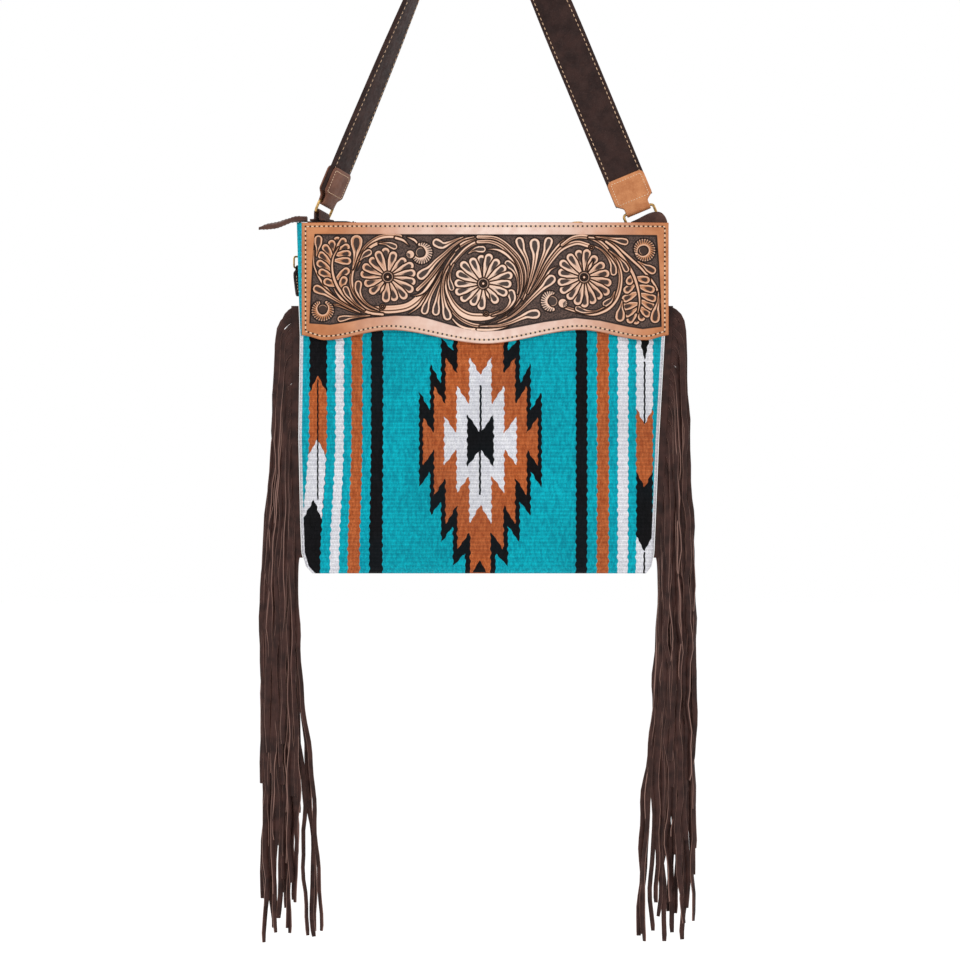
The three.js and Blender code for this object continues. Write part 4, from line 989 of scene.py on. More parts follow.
CLUBS = [
    ("318.3,239.3 317.8,247 316.2,256", 4.6), ("356.6,241 356.3,249.5 354.9,259.2 352.6,269", 6.4),
    ("368.6,252.6 364,255.6 360,260.5", 3.9), ("394.2,246.6 387,243.9 379,243.6", 3.6),
    ("358.4,284.2 358.1,290.4 361.4,298.2 368.5,305.2 379,310.4", 4.2),
    ("345.8,289.3 349,295.6 355.5,303.4 364.5,310", 3.8),
    ("317,288.8 324.3,292.4 331.5,296.9 339.3,301.8 349,307.3 360,312.4", 4.7),
    ("340.6,318.9 347.7,317.6 358.8,316.6 370,315.6", 3.6),
    ("421.4,275.2 429.1,268.9 435.9,261.4 444.1,254.2 453,246.2 463.2,239.6 474,236.8", 5.2),
    ("436.8,242.9 442.7,245.4 449.6,242.9 456.4,239.6 463.2,237", 4.9),
    ("424.7,310.6 427.1,303 431.8,292.1 438.7,279.8 445.5,266.2 451.6,255.3 459,247.8", 4.4),
    ("435.9,311.6 436.8,303 438.9,292.8 442.1,281.2 444.8,270.3 448.6,262.1 455,253", 4.5),
    ("447.4,316 444.8,306.4 442.9,296.2 442.6,286 444.6,275.7 449,266", 4.9),
    ("451.6,288 449.5,280 450.6,271.6 454,264", 3.2), ("482.4,249.3 475,249.6 468.6,253.4", 3.8),
    ("508,263.8 513,268.2 516.8,275.7 518.2,284.6 517.4,293.5", 4.0),
    ("511.2,293.4 512.4,299.6 509,306.4 502.5,311.8 492,315.6", 4.6),
    ("519.6,241.4 522.3,249.8 526.4,258.7 528.6,268.9 528.6,279.2 526.4,288 521.6,298", 4.8),
    ("534.6,243.6 535.3,255.3 533.9,266.2 531.2,277.1 527.7,289.4 523.2,299.8", 5.6),
    ("548.6,241.4 545.5,251.9 541.4,262.1 537.6,271.7 533.6,281.2 527.7,293.5", 4.8),
    ("551.2,279.4 544.8,285.6 536.6,293.5 529.1,301 520.9,309.2 510.7,317 498,322.8", 5.2),
    ("535.4,314 527.7,314.9 519.6,318.4 509.3,322.9 497.1,325.9 480,326.4", 5.3),
    ("613.5,272 612.9,265.6 608.6,257.6 602,250.4 594,246", 4.1),
    ("605.6,303.6 611.4,299 614.8,291.4", 3.5), ("578,308.6 585.5,311.4 595.7,311.2 604,307.4", 3.4),
    ("626.2,269.2 622.6,262.8 616.9,256.4 609.4,250.6", 3.6),
    ("624.9,241.8 616.2,240 606,237.9 595.7,236.8", 4.0), ("652.3,270.2 645.5,266.3 637.7,261", 4.5),
    ("620,317 620.9,308.6 622,300.6", 5.2), ("655.2,318.2 656.3,310 658.3,301.8 658.6,292", 5.2),
]
FLOWERS = [
    ((387.7, 276.9), "385.4,249.8 393.7,253.6 404,260 411.5,265 413.5,273 413.5,282 411.5,290 405,297 "
                     "394.8,299 385.8,300.3 371.5,292 366.2,283.7 362.5,273.9 364.5,266.4 371.5,259.5 "
                     "377.9,253"),
    ((483.2, 283.6), "481.3,257.1 489.3,255.7 497.2,261 504,267.5 510.5,275 509.5,284 505.5,293.5 "
                     "496.2,301.4 481.3,307.9 472.6,303.6 462.5,299.3 457.2,292.2 456.5,283.2 "
                     "458.1,273.4 462.5,263.7 472.3,259.8"),
    ((584.1, 277.3), "578.5,252 587.1,251.2 595,257.5 602.6,264.6 607.3,273.4 609.4,283 607.4,292.7 "
                     "599.8,297.2 593.1,302 584.6,305.5 577.1,303 569.2,297.5 562,291 559.6,282.4 "
                     "560.2,272.2 561.6,262.6 569.4,255.9"),
]
# A plain bud between two petals of each flower, from its root to its tip
SLIVERS = ["385.2,283.4 379.8,294", "485.2,289.6 489.6,299.6", "587.4,271.6 593,260.6"]
LEAVES = [
    ("338.4,247.6 333.1,258.1 332.4,270.2 335.4,282.2 342.1,293.5 352.7,303.3 367.7,312.3 382.8,314.6",
     "337.6,238 330.9,241.3 324.1,245.8 319.3,253.4 317.8,262.1 319.6,271.2 324.6,280.9 "
     "344.4,239.3 348.2,246.1 349.9,253.9 349.9,261.4 348.2,269.7 345.1,277.7"),
    ("638,312.6 639.6,303.1 638.9,293.5 636.7,284 633.3,274.4 627.8,264.9 621.7,256 614.2,247.8 606,241.7",
     "635.6,323 642.3,319.7 649.1,315.2 653.9,307.6 655.4,298.9 653.6,289.8 648.6,280.1 "
     "628.8,321.7 625,314.9 623.3,307.1 623.3,299.6 625,291.3 628.1,283.3"),
]
# Centre, start of the curl and its sweep in degrees
PODS = [((322.6, 309.6), -62, 300), ((420.9, 252.6), -100, 250), ((552.3, 301.2), -85, -190),
        ((644, 250.3), 160, 345)]
FANS = [((410.2, 254.4), 150, 4.4), ((562.8, 303.2), 20, 4.8)]
SEEDS = [(382.4, 306.3), (486, 313.4), (591.4, 247.6)]


def yoke_surface(x, drop, lift):
    return np.stack([x, -(yoke_seat(x, drop) + lift), -BAG_DROP - drop + 0 * x], axis=-1)


def yoke_seam():
    """Places of the border's seam, as x and drop, all the way round."""
    reach = YOKE_HALF_WIDTH - SEAM_INSET
    x = np.linspace(-reach, reach, 240)
    low = yoke_drop(x / YOKE_HALF_WIDTH) - SEAM_INSET
    rise = np.linspace(SEAM_INSET, low[0], 70)
    top = np.stack([x, np.full(x.shape, SEAM_INSET)], axis=1)
    right = np.stack([np.full(70, reach), rise], axis=1)
    bottom = np.stack([x[::-1], low[::-1]], axis=1)
    left = np.stack([np.full(70, -reach), rise[::-1]], axis=1)
    path = np.vstack([top, right[1:], bottom[1:], left[1:]])
    steps = np.linalg.norm(np.diff(path, axis=0), axis=1)
    along = np.concatenate([[0], np.cumsum(steps)])
    count = int(round(along[-1] / SEAM_PITCH))
    at = np.linspace(0, along[-1], count + 1)
    holes = np.stack([np.interp(at, along, path[:, k]) for k in range(2)], axis=1)
    return path + [YOKE_SHIFT, 0], holes + [YOKE_SHIFT, 0]


def carve(carving):
    for text, widths, lines in BANDS:
        carving.stroke(curve(chart(text)), widths, lines=lines)
    for rib, tips in LEAVES:
        carving.leaf(rib, chart(tips))
    for text, head in CLUBS:
        carving.club(text, head)
    for centre, start, sweep in PODS:
        carving.pod(centre, start, sweep)
    for centre, turn, radius in FANS:
        carving.fan(centre, turn, radius)
    for centre, tips in FLOWERS:
        carving.flower(centre, chart(tips))
    for text in SLIVERS:
        carving.stroke(chart(text), [0.5, 1.7, 0.5], dome=1.0)
    for centre in SEEDS:
        carving.disc(centre, 2.7, dark=0.95)
        carving.disc(centre, 1.0)


def yoke_half(name, low, high, nodes):
    """Closed half of the yoke between two shares of its width."""
    out, share = np.meshgrid(np.linspace(low, high, YOKE_HALF_COLUMNS), np.linspace(0, 1, YOKE_ROWS))
    drop = yoke_drop(out) * share
    x = YOKE_SHIFT + out * YOKE_HALF_WIDTH
    carving = Carving(x / UNIT + CHART_X, drop / UNIT + CHART_TOP)
    carve(carving)
    bottom = yoke_drop(out) - drop
    border = np.minimum(np.minimum(drop, bottom), YOKE_HALF_WIDTH * (1 - np.abs(out)))
    rounding = 1.1 * (1 - np.clip(border / 1.6, 0, 1)) ** 2
    channel = 0.35 * (1 - smooth(np.abs(border - SEAM_INSET) / 1.1)) * (carving.field < 0)
    edge = carving.edge
    for hole_x, hole_drop in yoke_seam()[1]:
        j = np.abs(x[0] - hole_x) < 1.6
        if j.any():
            off = np.hypot(x[:, j] - hole_x, drop[:, j] - hole_drop)
            edge[:, j] = np.minimum(edge[:, j], off * 0.9)
            channel[:, j] = np.maximum(channel[:, j], 0.8 * (1 - smooth(off / 1.0)))
    front = yoke_surface(x, drop, YOKE_THICKNESS + carving.height - rounding - channel)
    out_in, share_in = np.meshgrid(np.linspace(low, high, 21), np.linspace(0, 1, 8))
    back = yoke_surface(YOKE_SHIFT + out_in * YOKE_HALF_WIDTH, yoke_drop(out_in) * share_in, 0.0)
    values = {"edge": edge, "shade": carving.shade, "ground": carving.ground,
              "carved": carving.carved, "burnish": 1 - smooth(border / 1.3)}
    fill = {"edge": 9.0, "burnish": 0.6}
    values = {key: np.concatenate([v.ravel(), np.full(back.size // 3, fill.get(key, 0.0))])
              for key, v in values.items()}
    piece(name, [closed_sheet(front, back)], TOOLED, nodes, values)


yoke_half("yoke_left", -1, 0, ["tooled_yoke"])
yoke_half("yoke_right", 0, 1, [])
seam_path = yoke_seam()[0]
seam = yoke_surface(seam_path[:, 0], seam_path[:, 1], YOKE_THICKNESS - 0.35)
seam_threads = stitches(seam, np.tile([0, -1, 0], (len(seam), 1)), pitch=SEAM_PITCH, radius=0.62)
piece("yoke_stitching", seam_threads, PALE_THREAD)


# Strap

LOOP_RADIUS = PEG_RADIUS + STRAP_THICKNESS / 2
FALLS_MEET = LOOP_RADIUS / math.sin(SPREAD) - PEG_RADIUS
BAND_TOP = -BAG_DROP + BACK_RISE + BAND_PROUD
BAR_OFFSET = (RING_INNER_HEIGHT + RING_WIRE) / 2
FALL_START = LOOP_RADIUS / math.tan(SPREAD)


def band_top_under(side):
    return BAND_TOP if side < 0 else BAND_TOP - BAND_RECESS


def ring_distance(side):
    height = band_top_under(side) + BAR_LIFT + BAR_OFFSET * math.cos(SPREAD)
    return (FALLS_MEET - height) / math.cos(SPREAD)


def strap_end(side):
    return ring_distance(side) - BAR_OFFSET - TAB_NECK_LENGTH


def strap_frame(side, turn_degrees, lean=SPREAD):
    turn = math.radians(turn_degrees)
    along = np.array([side * math.sin(lean), 0, -math.cos(lean)])
    normal = (np.array([-side * math.cos(lean), 0, -math.sin(lean)]) * math.cos(turn)
              + np.array([0, -1.0, 0]) * math.sin(turn))
    return along, normal, np.cross(along, normal) * side


def on_fall(side, distance):
    return np.array([side * distance * math.sin(SPREAD), 0, FALLS_MEET - distance * math.cos(SPREAD)])


def strap_turn(side, distance):
    turning = strap_end(side) - 2 * TAB_BODY_LENGTH - FALL_START
    keys = np.array(STRAP_TURNS[side])
    return float(np.interp((distance - FALL_START) / turning, keys[:, 0], keys[:, 1]))


def end_frame(side):
    return strap_frame(side, strap_turn(side, strap_end(side)))


def strap():
    centres, across, normals = [], [], []
    for side in (-1, 1):
        rows = []
        for i in range(1, 12):
            lean = math.pi / 2 - (math.pi / 2 - SPREAD) * i / 12
            centre = np.array([side * LOOP_RADIUS * math.cos(lean), 0,
                               LOOP_RADIUS * math.sin(lean) - PEG_RADIUS])
            rows.append((centre, *strap_frame(side, 0, lean)))
        for distance in np.linspace(FALL_START, strap_end(side), 60):
            turn = np.mean([strap_turn(side, distance + d) for d in (-16, -8, 0, 8, 16)])
            rows.append((on_fall(side, distance), *strap_frame(side, turn)))
        rows = rows[::-1] if side < 0 else rows
        for centre, _, normal, beside in rows:
            centres.append(centre)
            normals.append(-normal)
            across.append(beside)
        if side < 0:
            centres.append(np.array([0, 0, STRAP_THICKNESS / 2]))
            normals.append(np.array([0, 0, 1.0]))
            across.append(np.array([0, 1.0, 0]))
    centres, across, normals = (np.array(rows) for rows in (centres, across, normals))
    body = ribbon(centres, across, normals, STRAP_WIDTH, STRAP_THICKNESS, 0.9, 3, groove=0.45)
    piece("shoulder_strap", [body], DARK, ["strap"])
    parts = []
    for edge in (-1, 1):
        for face in (-1, 1):
            line = (centres + unit(across) * edge * (STRAP_WIDTH / 2 - STRAP_SEAM_INSET)
                    + unit(normals) * face * STRAP_THICKNESS / 2)
            parts += stitches(line[3:-3], normals[3:-3] * face, pitch=5.0, radius=0.42)
    piece("strap_stitching", parts, TAN_THREAD)


def folded(path, origin, first, second, across, thickness, corner=0.5):
    """Strip folded in one plane. The path holds distances along first and second, and widths."""
    path = np.asarray(path, float)
    before = np.vstack([path[:1], path[:-1]])
    after = np.vstack([path[1:], path[-1:]])
    normals = ((before[:, 1] - after[:, 1])[:, None] * first
               + (after[:, 0] - before[:, 0])[:, None] * second)
    centres = origin + path[:, :1] * first + path[:, 1:2] * second
    return ribbon(centres, np.tile(across, (len(path), 1)), normals, path[:, 2], thickness, corner)


def bend_path(radius, width, steps=12):
    turns = np.linspace(0, math.pi, steps + 1)[1:-1]
    return [(-radius * math.sin(t), radius * math.cos(t), width) for t in turns]


def tab_width(a):
    """Width of a tab at a distance from its ring, with a round shoulder and round far corners."""
    top = TAB_NECK_LENGTH + TAB_BODY_LENGTH
    shoulder = smooth((a - 4.5) / (TAB_NECK_LENGTH - 2.5))
    width = TAB_NECK_WIDTH + (STRAP_WIDTH - TAB_NECK_WIDTH) * shoulder
    over = np.clip(a - (top - TAB_CORNER), 0, TAB_CORNER)
    return width - 2 * (TAB_CORNER - np.sqrt(np.maximum(0, TAB_CORNER ** 2 - over ** 2)))


def strap_tab(side, name):
    along, normal, across = end_frame(side)
    bar = on_fall(side, ring_distance(side) - BAR_OFFSET)
    flat = STRAP_THICKNESS / 2 + CLEARANCE + TAB_PLY / 2
    bend = RING_WIRE / 2 + CLEARANCE + TAB_PLY / 2
    top = TAB_NECK_LENGTH + TAB_BODY_LENGTH
    ply = [(a, bend + (flat - bend) * smooth(a / TAB_NECK_LENGTH), float(tab_width(a)))
           for a in top - (top * np.linspace(0, 1, 44) ** 1.25)]
    far = [(a, -b, width) for a, b, width in reversed(ply)]
    path = ply + bend_path(bend, TAB_NECK_WIDTH) + far
    # The left tab takes the tan leather darkened as painted shade, the right one the plain tan.
    piece(f"tan_tab_{name}", [folded(path, bar, -along, normal, across, TAB_PLY, 0.6)],
          TAN_PAINTED_SHADE if side < 0 else TAN, [f"strap_tab_{name}"])
    low, high = TAB_NECK_LENGTH + 0.5, top - 3.2
    half = STRAP_WIDTH / 2 - 3.4
    corners = [(high, -half), (high, half), (low, half), (low, -half), (high, -half)]
    parts = []
    for face in (-1, 1):
        level = face * (flat + TAB_PLY / 2)
        for (a0, w0), (a1, w1) in zip(corners, corners[1:]):
            share = np.linspace(0, 1, 9)[:, None]
            line = (bar - along * (a0 + (a1 - a0) * share) + across * (w0 + (w1 - w0) * share)
                    + normal * level)
            parts += stitches(line, np.tile(normal * face, (9, 1)), pitch=2.7, radius=0.34)
    piece(f"tab_stitching_{name}", parts, PALE_THREAD)


def wire_ring(centre, across, along, half_width, half_height, corner, wire, steps=8, sides=14):
    normal = unit(np.cross(across, along))
    rings = []
    for sx, sy, start in [(1, 1, 0), (-1, 1, 90), (-1, -1, 180), (1, -1, 270)]:
        for i in range(steps + 1):
            turn = math.radians(start + 90 * i / steps)
            out = across * math.cos(turn) + along * math.sin(turn)
            middle = (centre + across * sx * (half_width - corner)
                      + along * sy * (half_height - corner) + out * corner)
            spins = np.arange(sides) * 2 * math.pi / sides
            rings.append([middle + wire / 2 * (out * math.cos(s) + normal * math.sin(s)) for s in spins])
    return lofted(np.array(rings), is_ring=True)


def strap_ring(side, name):
    along, _, across = end_frame(side)
    half_width = (RING_INNER_WIDTH + RING_WIRE) / 2
    part = wire_ring(on_fall(side, ring_distance(side)), across, along, half_width, BAR_OFFSET,
                     RING_CORNER, RING_WIRE)
    piece(f"brass_ring_{name}", [part], BRASS, [f"ring_{name}"])


def ring_anchor(side, name):
    """Leather saddle over the ring's lower bar, with its two feet flat on the band."""
    _, _, across = end_frame(side)
    bar = on_fall(side, ring_distance(side) + BAR_OFFSET)
    up = np.array([0, 0, 1.0])
    level = unit(np.array([across[0], across[1], 0]))
    sideways = np.cross(up, level)
    bend = RING_WIRE / 2 + CLEARANCE + ANCHOR_PLY / 2
    foot = band_top_under(side) + CLEARANCE + ANCHOR_PLY / 2 - bar[2]
    near = [(foot, bend + ANCHOR_FOOT, 0, 1, 0), (foot, bend + 2.6, 0, 1, 0.05),
            (foot + 0.2, bend + 1, 0, 0.9, 0.4), (foot + 1.4, bend, 0.2, 0.3, 1), (0, bend, 1, 0, 1)]
    near += [(bend * math.sin(t), bend * math.cos(t), 1, math.sin(t), math.cos(t))
             for t in np.radians([22.5, 45, 67.5])]
    far = [(a, -b, tilt, n_a, -n_b) for a, b, tilt, n_a, n_b in reversed(near)]
    stations = curve(near + [(bend, 0, 1, 1, 0)] + far, 4)
    centres, lines, normals = [], [], []
    for a, b, tilt, n_a, n_b in stations:
        line = unit(level * (1 - tilt) + across * tilt)
        rise = unit(np.cross(level, sideways) * (1 - tilt) + np.cross(across, sideways) * tilt)
        rise = -rise if rise[2] < 0 else rise
        centres.append(bar + rise * a + sideways * b)
        lines.append(line)
        normals.append(rise * n_a + sideways * n_b)
    part = ribbon(np.array(centres), np.array(lines), np.array(normals), ANCHOR_WIDTH, ANCHOR_PLY, 0.7)
    piece(f"ring_saddle_{name}", [part], SUEDE, [f"ring_anchor_{name}"])


END_FOLD = chart("628,222.9 634,220.3 641,216.6 649,212.6 656,210.8 661.5,211.6 665.4,215.2 667.6,220 "
                 "668.2,224.5 648,226.5 630,226")
END_FOLD_DEPTHS = [(-8.6, 0.9), (-8.0, 1.0), (8.0, 1.0), (8.6, 0.9)]


def end_fold():
    """Leather folded over the right end of the top, below the ring."""
    line = np.vstack([curve(END_FOLD[:9], 4), END_FOLD[9:]])
    middle = line.mean(axis=0)
    rings = []
    for y, size in END_FOLD_DEPTHS:
        places = middle + (line - middle) * size
        rings.append(np.stack([(places[:, 0] - CHART_X) * UNIT, np.full(len(places), y),
                               -BAG_DROP - (places[:, 1] - CHART_TOP) * UNIT], axis=1))
    piece("end_fold", [lofted(np.array(rings))], SUEDE)


end_fold()
strap()
for end_side, end_name in ((-1, "left"), (1, "right")):
    strap_tab(end_side, end_name)
    strap_ring(end_side, end_name)
    ring_anchor(end_side, end_name)


# Zipped top

def band_height(across):
    rise = smooth((-across - BAND_RISE_START) / (BAND_RISE_END - BAND_RISE_START))
    return BAND_TOP - BAND_RECESS * (1 - rise)


def top_line(inset, count):
    """Places along the zipped top, as shares across the body and as points on the band."""
    middle, half = body_reach(0, CLOTH_THICKNESS)
    across = np.linspace(-1, 1, count) * (half - inset) / half
    points = np.stack([middle + across * half, 0 * across, band_height(across)], axis=1)
    return across, points


def zipped_top():
    across, points = top_line(7.5, 90)
    ones = np.ones((len(across), 1))
    widths = 2 * (body_bulge(across, 0.0, CLOTH_THICKNESS) - 1.5 * CLEARANCE)
    band = ribbon(points - [0, 0, BAND_THICKNESS / 2], ones * [0, 1.0, 0], ones * [0, 0, 1.0],
                  widths, BAND_THICKNESS, 0.5)
    piece("zipper_gusset", [band], DARK, ["zipper_band"])
    parts = []
    for face in (-1, 1):
        line = points + np.stack([0 * across, face * GUSSET_SEAM + 0 * across, 0 * across], axis=1)
        parts += stitches(line[4:-4], ones[4:-4] * [0, 0, 1.0], pitch=4.0, radius=0.35)
    piece("gusset_stitching", parts, TAN_THREAD)
    across, points = top_line(TEETH_END_INSET + 12, 60)
    ones = np.ones((len(across), 1))
    parts = [ribbon(points + [0, 0, 0.55], ones * [0, 1.0, 0], ones * [0, 0, 1.0], 5.0, 0.5, 0.15)]
    count = int((points[-1, 0] - points[0, 0]) / TEETH_PITCH)
    for i, x in enumerate(np.linspace(points[0, 0] + 1, points[-1, 0] - 1, count)):
        middle = np.array([[x - 0.8, 0, 0], [x - 0.45, 0, 0], [x + 0.45, 0, 0], [x + 0.8, 0, 0]])
        middle[:, 1] = 0.6 if i % 2 else -0.6
        middle[:, 2] = np.interp(x, points[:, 0], points[:, 2]) + 1.2
        sides = np.ones((4, 1))
        parts.append(ribbon(middle, sides * [0, 1.0, 0], sides * [0, 0, 1.0],
                            np.array([2.2, 3.2, 3.2, 2.2]), np.array([0.7, 1.3, 1.3, 0.7]), 0.35, 2))
    piece("zipper_coil", parts, ZIP_BLACK, ["zipper_teeth"])


def slider_body(length, width, height, origin, along, normal):
    beside = np.cross(normal, along)
    rows = curve(SLIDER_SECTIONS, 4)
    centres = origin + rows[:, :1] * length * along + (rows[:, 2:3] * height / 2) * normal
    ones = np.ones((len(rows), 1))
    return ribbon(centres, ones * beside, ones * normal, rows[:, 1] * width, rows[:, 2] * height, 0.9, 4)


def zipper_slider():
    x = SLIDER_ACROSS * BODY_HALF_WIDTH
    middle, half = body_reach(0)
    z = float(band_height((x - middle) / half)) + 2 * CLEARANCE + TEETH_HEIGHT
    body = slider_body(SLIDER_LENGTH, SLIDER_WIDTH, SLIDER_HEIGHT, np.array([x, 0, z]),
                       np.array([1.0, 0, 0]), np.array([0, 0, 1.0]))
    piece("brass_slider", [body], BRASS, ["zipper_slider"])


def zipper_tail():
    middle, half = body_reach(0)
    start = middle - half + TAIL_OVERLAP
    level = BAND_TOP + CLEARANCE + TAIL_THICKNESS / 2
    rows = curve(TAIL_SECTIONS, 6)
    along, rise, width, lean = rows.T
    tilt = np.radians(lean)
    centres = np.stack([start - along * TAIL_LENGTH, 0 * along, level + rise * TAIL_LENGTH], axis=1)
    beside = np.stack([0 * tilt, np.cos(tilt), np.sin(tilt)], axis=1)
    normal = np.stack([0 * tilt, -np.sin(tilt), np.cos(tilt)], axis=1)
    thick = TAIL_THICKNESS * (1 - 0.4 * smooth((along - 0.8) / 0.2))
    widths = width * TAIL_WIDTH * (1 - 0.18 * smooth((along - 0.9) / 0.1))
    tongue = ribbon(centres, beside, normal, widths, thick, 1.3, 4, groove=0.5)
    piece("suede_tail", [tongue], SUEDE, ["zipper_tail"])
    parts = []
    for edge in (-1, 1):
        for face in (-1, 1):
            line = (centres + beside * (edge * (widths / 2 - TAIL_SEAM_INSET))[:, None]
                    + normal * (face * thick / 2)[:, None])
            parts += stitches(line[3:-3], normal[3:-3] * face, pitch=3.6, radius=0.3)
    piece("tail_stitching", parts, DARK_THREAD)


zipped_top()
zipper_slider()
zipper_tail()


# Back pocket

def pocket_station(down, lift):
    """Point beside the back pocket's line, with the directions across it and off the cloth."""
    point = body_point(1, POCKET_ACROSS, down)
    across = unit(body_point(1, POCKET_ACROSS - 0.004, down) - body_point(1, POCKET_ACROSS + 0.004, down))
    normal = unit(np.cross(across, [0, 0, 1.0]))
    normal = -normal if normal[1] < 0 else normal
    return point + normal * lift, across, normal


def pocket():
    tape_lift = 3 * CLEARANCE + POCKET_TAPE_THICKNESS / 2
    downs = POCKET_TOP_DOWN + np.linspace(0, 1, 70) * POCKET_LENGTH / BODY_HEIGHT
    rows = [pocket_station(down, tape_lift - 0.3) for down in downs]
    centres, across, normals = (np.array([row[i] for row in rows]) for i in range(3))
    parts = [ribbon(centres, across, normals, POCKET_TAPE_WIDTH, 1.0, 0.35)]
    for i, down in enumerate(np.arange(downs[0] + 0.004, downs[-1] - 0.004, TEETH_PITCH / BODY_HEIGHT)):
        point, beside, normal = pocket_station(down, tape_lift + 0.4)
        point = point + beside * (0.6 if i % 2 else -0.6)
        steps = np.array([[0, 0, 0.8], [0, 0, 0.4], [0, 0, -0.4], [0, 0, -0.8]])
        sides = np.ones((4, 1))
        parts.append(ribbon(point + steps, sides * beside, sides * normal,
                            np.array([2.0, 2.9, 2.9, 2.0]), np.array([0.5, 0.9, 0.9, 0.5]), 0.3, 2))
    piece("pocket_coil", parts, ZIP_BLACK, ["pocket_zipper"])

    seat, across, normal = pocket_station(POCKET_SLIDER_DOWN, tape_lift)
    up = np.array([0, 0, 1.0])
    surface = seat + normal * (POCKET_TAPE_THICKNESS / 2 + 2 * CLEARANCE)
    eye_radius = POCKET_RING_WIRE + CLEARANCE
    eye = surface + normal * (POCKET_SLIDER_HEIGHT + eye_radius * 0.6)
    parts = [slider_body(POCKET_SLIDER_LENGTH, POCKET_SLIDER_WIDTH, POCKET_SLIDER_HEIGHT, surface, up,
                         normal)]
    reach = eye_radius + POCKET_RING_WIRE / 2
    parts.append(wire_ring(eye, up, normal, reach, reach, eye_radius, POCKET_RING_WIRE * 0.8))
    piece("pocket_pull_slider", parts, BRASS, ["pocket_slider"])
    ring = eye - up * POCKET_RING_HALF_HEIGHT
    part = wire_ring(ring, across, up, POCKET_RING_HALF_WIDTH, POCKET_RING_HALF_HEIGHT,
                     POCKET_RING_CORNER, POCKET_RING_WIRE)
    piece("pocket_pull_ring", [part], BRASS, ["pocket_ring"])

    bar = ring - up * POCKET_RING_HALF_HEIGHT
    bend = POCKET_RING_WIRE / 2 + CLEARANCE + PULL_PLY / 2
    shut = (PULL_PLY + CLEARANCE) / 2
    rows = curve(PULL_SECTIONS, 8)
    ply = [(down * PULL_LENGTH, shut + (bend - shut) * opened, width * PULL_WIDTH)
           for down, width, opened in rows]
    ply[-1] = (ply[-1][0], ply[-1][1], ply[-1][2] * 0.75)
    far = [(a, -b, width) for a, b, width in ply]
    path = ply[::-1] + bend_path(bend, PULL_SECTIONS[0][1] * PULL_WIDTH) + far
    piece("leather_pull", [folded(path, bar, -up, normal, across, PULL_PLY, 0.5)], DARK,
          ["pocket_pull"])
    parts = []
    for face in (-1, 1):
        for edge in (-1, 1):
            places = np.linspace(7, PULL_LENGTH - 3, 12)
            widths = np.interp(places, [a for a, _, _ in ply], [w for _, _, w in ply])
            line = (bar - up * places[:, None]
                    + across * (edge * (widths / 2 - PULL_SEAM_INSET))[:, None]
                    + normal * face * (shut + PULL_PLY / 2))
            parts += stitches(line, np.tile(normal * face, (12, 1)), pitch=2.8, radius=0.28)
    piece("pull_stitching", parts, PALE_THREAD)


pocket()


# Fringes

def seam_edge(side, down):
    middle, half = body_reach(down)
    return middle + side * half


def thong(side, share, tip_share, rng, lane_shift, layer, stray):
    """One thong: out over the seam in a bow, then down its lane with a loose sway and twist."""
    attach = FRINGE_TOP_DOWN + (FRINGE_BOTTOM_DOWN - FRINGE_TOP_DOWN) * (0.01 + 0.98 * share)
    top = -BAG_DROP - attach * BODY_HEIGHT
    tip = -BAG_DROP - FRINGE_TOP_DOWN * BODY_HEIGHT - FRINGE_REACH * tip_share
    start = seam_edge(side, attach) + side * (2 * CLEARANCE + HEAD_WIDTH * 0.55)
    lane = seam_edge(side, FRINGE_BOTTOM_DOWN) + side * (2 + FRINGE_SPAN * (1 - share) + lane_shift)
    length = top - tip
    shares_down = [[0, 0.006, 0.014, 0.026, 0.045, 0.07], np.linspace(0.1, 0.985, 30), [1.0]]
    drops = length * np.concatenate(shares_down)
    bow = side * FRINGE_BOW * (1.15 - share) * rng.uniform(0.8, 1.2)
    x = start + bow * (1 - np.exp(-drops / BOW_DROP))
    x = x + (lane - start - bow) * smooth(drops / FRINGE_SETTLE)
    loose = smooth(drops / 120)
    broad = (rng.uniform(0.6, 2.2), rng.uniform(90, 170))
    short = (rng.uniform(0.3, 1.0), rng.uniform(38, 70))
    for size, wave in (broad, short):
        x = x + loose * size * np.sin(drops / wave * 2 * math.pi + rng.uniform(0, THONG_PHASE))
    x = x - side * stray * smooth(drops / length * 1.1 - 0.1)
    y = layer * np.minimum(1, drops / 45)
    y = y + 1.2 * loose * np.sin(drops / 110 + rng.uniform(0, THONG_PHASE))
    centres = np.stack([x, y, top - drops], axis=1)
    along = unit(np.gradient(centres, axis=0))
    beside = unit(np.cross(along, [0, 1.0, 0]))
    facing = unit(np.cross(beside, along))
    lean = rng.uniform(-0.5, 0.7)
    twist = np.sin(drops / rng.uniform(90, 160) + rng.uniform(0, THONG_PHASE))
    angle = ((lean + 0.7 * loose * twist) * np.minimum(1, drops / 60))[:, None]
    across = beside * np.cos(angle) + facing * np.sin(angle)
    normal = facing * np.cos(angle) - beside * np.sin(angle)
    width = rng.uniform(*THONG_WIDTHS) * (1 + 0.06 * np.sin(drops / 37 + share * 9))
    width[-1] *= 0.8
    return ribbon(centres, across, normal, width, THONG_THICKNESS, corner=0.35, steps=1)


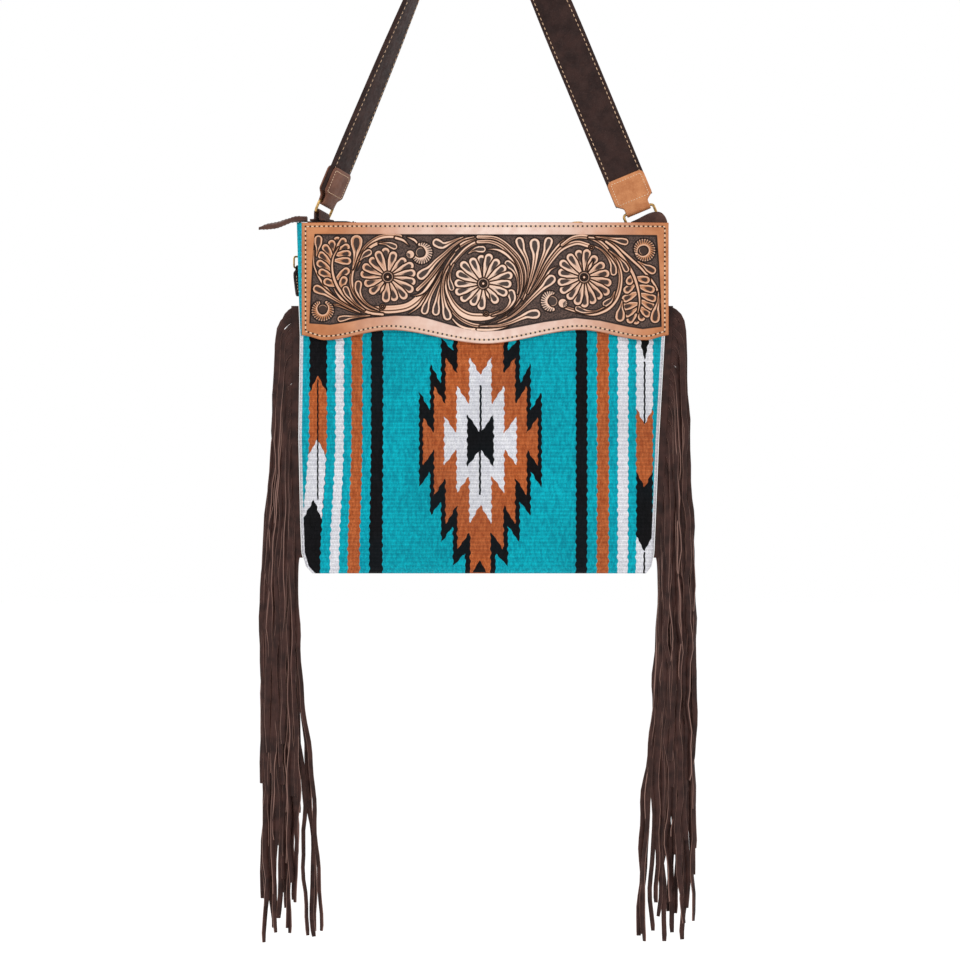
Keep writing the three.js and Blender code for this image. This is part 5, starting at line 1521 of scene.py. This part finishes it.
def fringe(side, name):
    rng = np.random.default_rng(FRINGE_SEEDS[side])
    downs = np.linspace(FRINGE_TOP_DOWN, FRINGE_BOTTOM_DOWN, 60)
    head = np.stack([seam_edge(side, downs) + side * (2 * CLEARANCE + HEAD_WIDTH / 2),
                     0 * downs, -BAG_DROP - downs * BODY_HEIGHT], axis=1)
    ones = np.ones((len(downs), 1))
    parts = [ribbon(head, ones * [1.0, 0, 0], ones * [0, 1.0, 0], HEAD_WIDTH, HEAD_THICKNESS, 0.7)]
    for index in range(THONG_COUNT):
        share = index / (THONG_COUNT - 1)
        tip = THONG_TIPS[(index * 5 + (side > 0) * 4) % len(THONG_TIPS)] + rng.uniform(-0.03, 0.0)
        stray = STRAYS.get(THONG_COUNT - index, 0.0)
        if stray:
            tip = 0.97 + 0.02 * rng.random()
        layer = rng.uniform(-7.5, 6.5)
        parts.append(thong(side, share, tip, rng, rng.uniform(-2.5, 2.5), layer, stray))
    cut = [np.zeros(len(parts[0][0]))]
    cut += [np.tile(CUT_CORNERS, len(part[0]) // len(CUT_CORNERS)) for part in parts[1:]]
    piece(f"thong_fringe_{name}", parts, THONG, [f"fringe_{name}"],
          {"cut": np.concatenate(cut)})


fringe(-1, "left")
fringe(1, "right")


# Stage, light and camera

FLOOR_HEIGHT = -1.32
FLOOR_RADIUS = 16.0
FLOOR_SIDES = 96


def floor():
    """Pale round floor, bright enough to run into the studio's white."""
    turns = np.linspace(0, 2 * math.pi, FLOOR_SIDES, endpoint=False)
    points = [(FLOOR_RADIUS * math.cos(t), FLOOR_RADIUS * math.sin(t), FLOOR_HEIGHT) for t in turns]
    mesh = bpy.data.meshes.new("floor")
    mesh.from_pydata(points, [], [list(range(FLOOR_SIDES))])
    f = Finish("floor_paper", roughness=0.95, specular=0.1)
    f.shader.inputs["Emission Color"].default_value = (1, 1, 1, 1)
    f.shader.inputs["Emission Strength"].default_value = 0.12
    tone = f.mix(f.step(f.noise(3, 2), 0.3, 0.7), (0.9, 0.9, 0.9, 1), (0.93, 0.93, 0.93, 1))
    mesh.materials.append(f.finish(tone))
    obj = bpy.data.objects.new("floor", mesh)
    bpy.context.scene.collection.objects.link(obj)


def area_light(name, place, target, size, power, colour=(1, 1, 1)):
    data = bpy.data.lights.new(name, "AREA")
    data.size = size
    data.energy = power
    data.color = colour
    light = bpy.data.objects.new(name, data)
    light.location = place
    way = np.array(target, float) - np.array(place, float)
    flat = math.hypot(way[0], way[1])
    light.rotation_euler = (math.atan2(flat, -way[2]), 0, math.atan2(-way[0], way[1]))
    bpy.context.scene.collection.objects.link(light)


floor()
area_light("key", (-0.9, -2.4, 1.0), (0, 0, -0.5), 1.0, 14, (1, 0.98, 0.96))
area_light("fill", (1.9, -2.2, 0.0), (0, 0, -0.6), 1.8, 3, (0.97, 0.98, 1))
area_light("top", (0.1, -0.2, 1.6), (0, 0, -0.5), 1.2, 6)
area_light("back_left", (-1.8, 1.6, 0.4), (0, 0.1, -0.5), 1.2, 6)
area_light("back_right", (1.8, 1.6, 0.4), (0, 0.1, -0.5), 1.2, 4)

scene = bpy.context.scene
world = bpy.data.worlds.new("studio")
world.use_nodes = True
world.node_tree.nodes["Background"].inputs[0].default_value = (1, 1, 1, 1)
world.node_tree.nodes["Background"].inputs[1].default_value = 1.0
scene.world = world
scene.view_settings.view_transform = "Standard"

CAMERA_ACROSS = -0.00095
CAMERA_AWAY = 3.017
CAMERA_HEIGHT = -0.58275
VIEW_WIDTH = 0.912
SENSOR_WIDTH = 36
camera_data = bpy.data.cameras.new("camera")
camera_data.sensor_width = SENSOR_WIDTH
camera_data.lens = SENSOR_WIDTH * (CAMERA_AWAY - BODY_DEPTH / 2 * METRES) / VIEW_WIDTH
camera = bpy.data.objects.new("camera", camera_data)
camera.location = (CAMERA_ACROSS, -CAMERA_AWAY, CAMERA_HEIGHT)
camera.rotation_euler = (math.pi / 2, 0, 0)
scene.collection.objects.link(camera)
scene.camera = camera
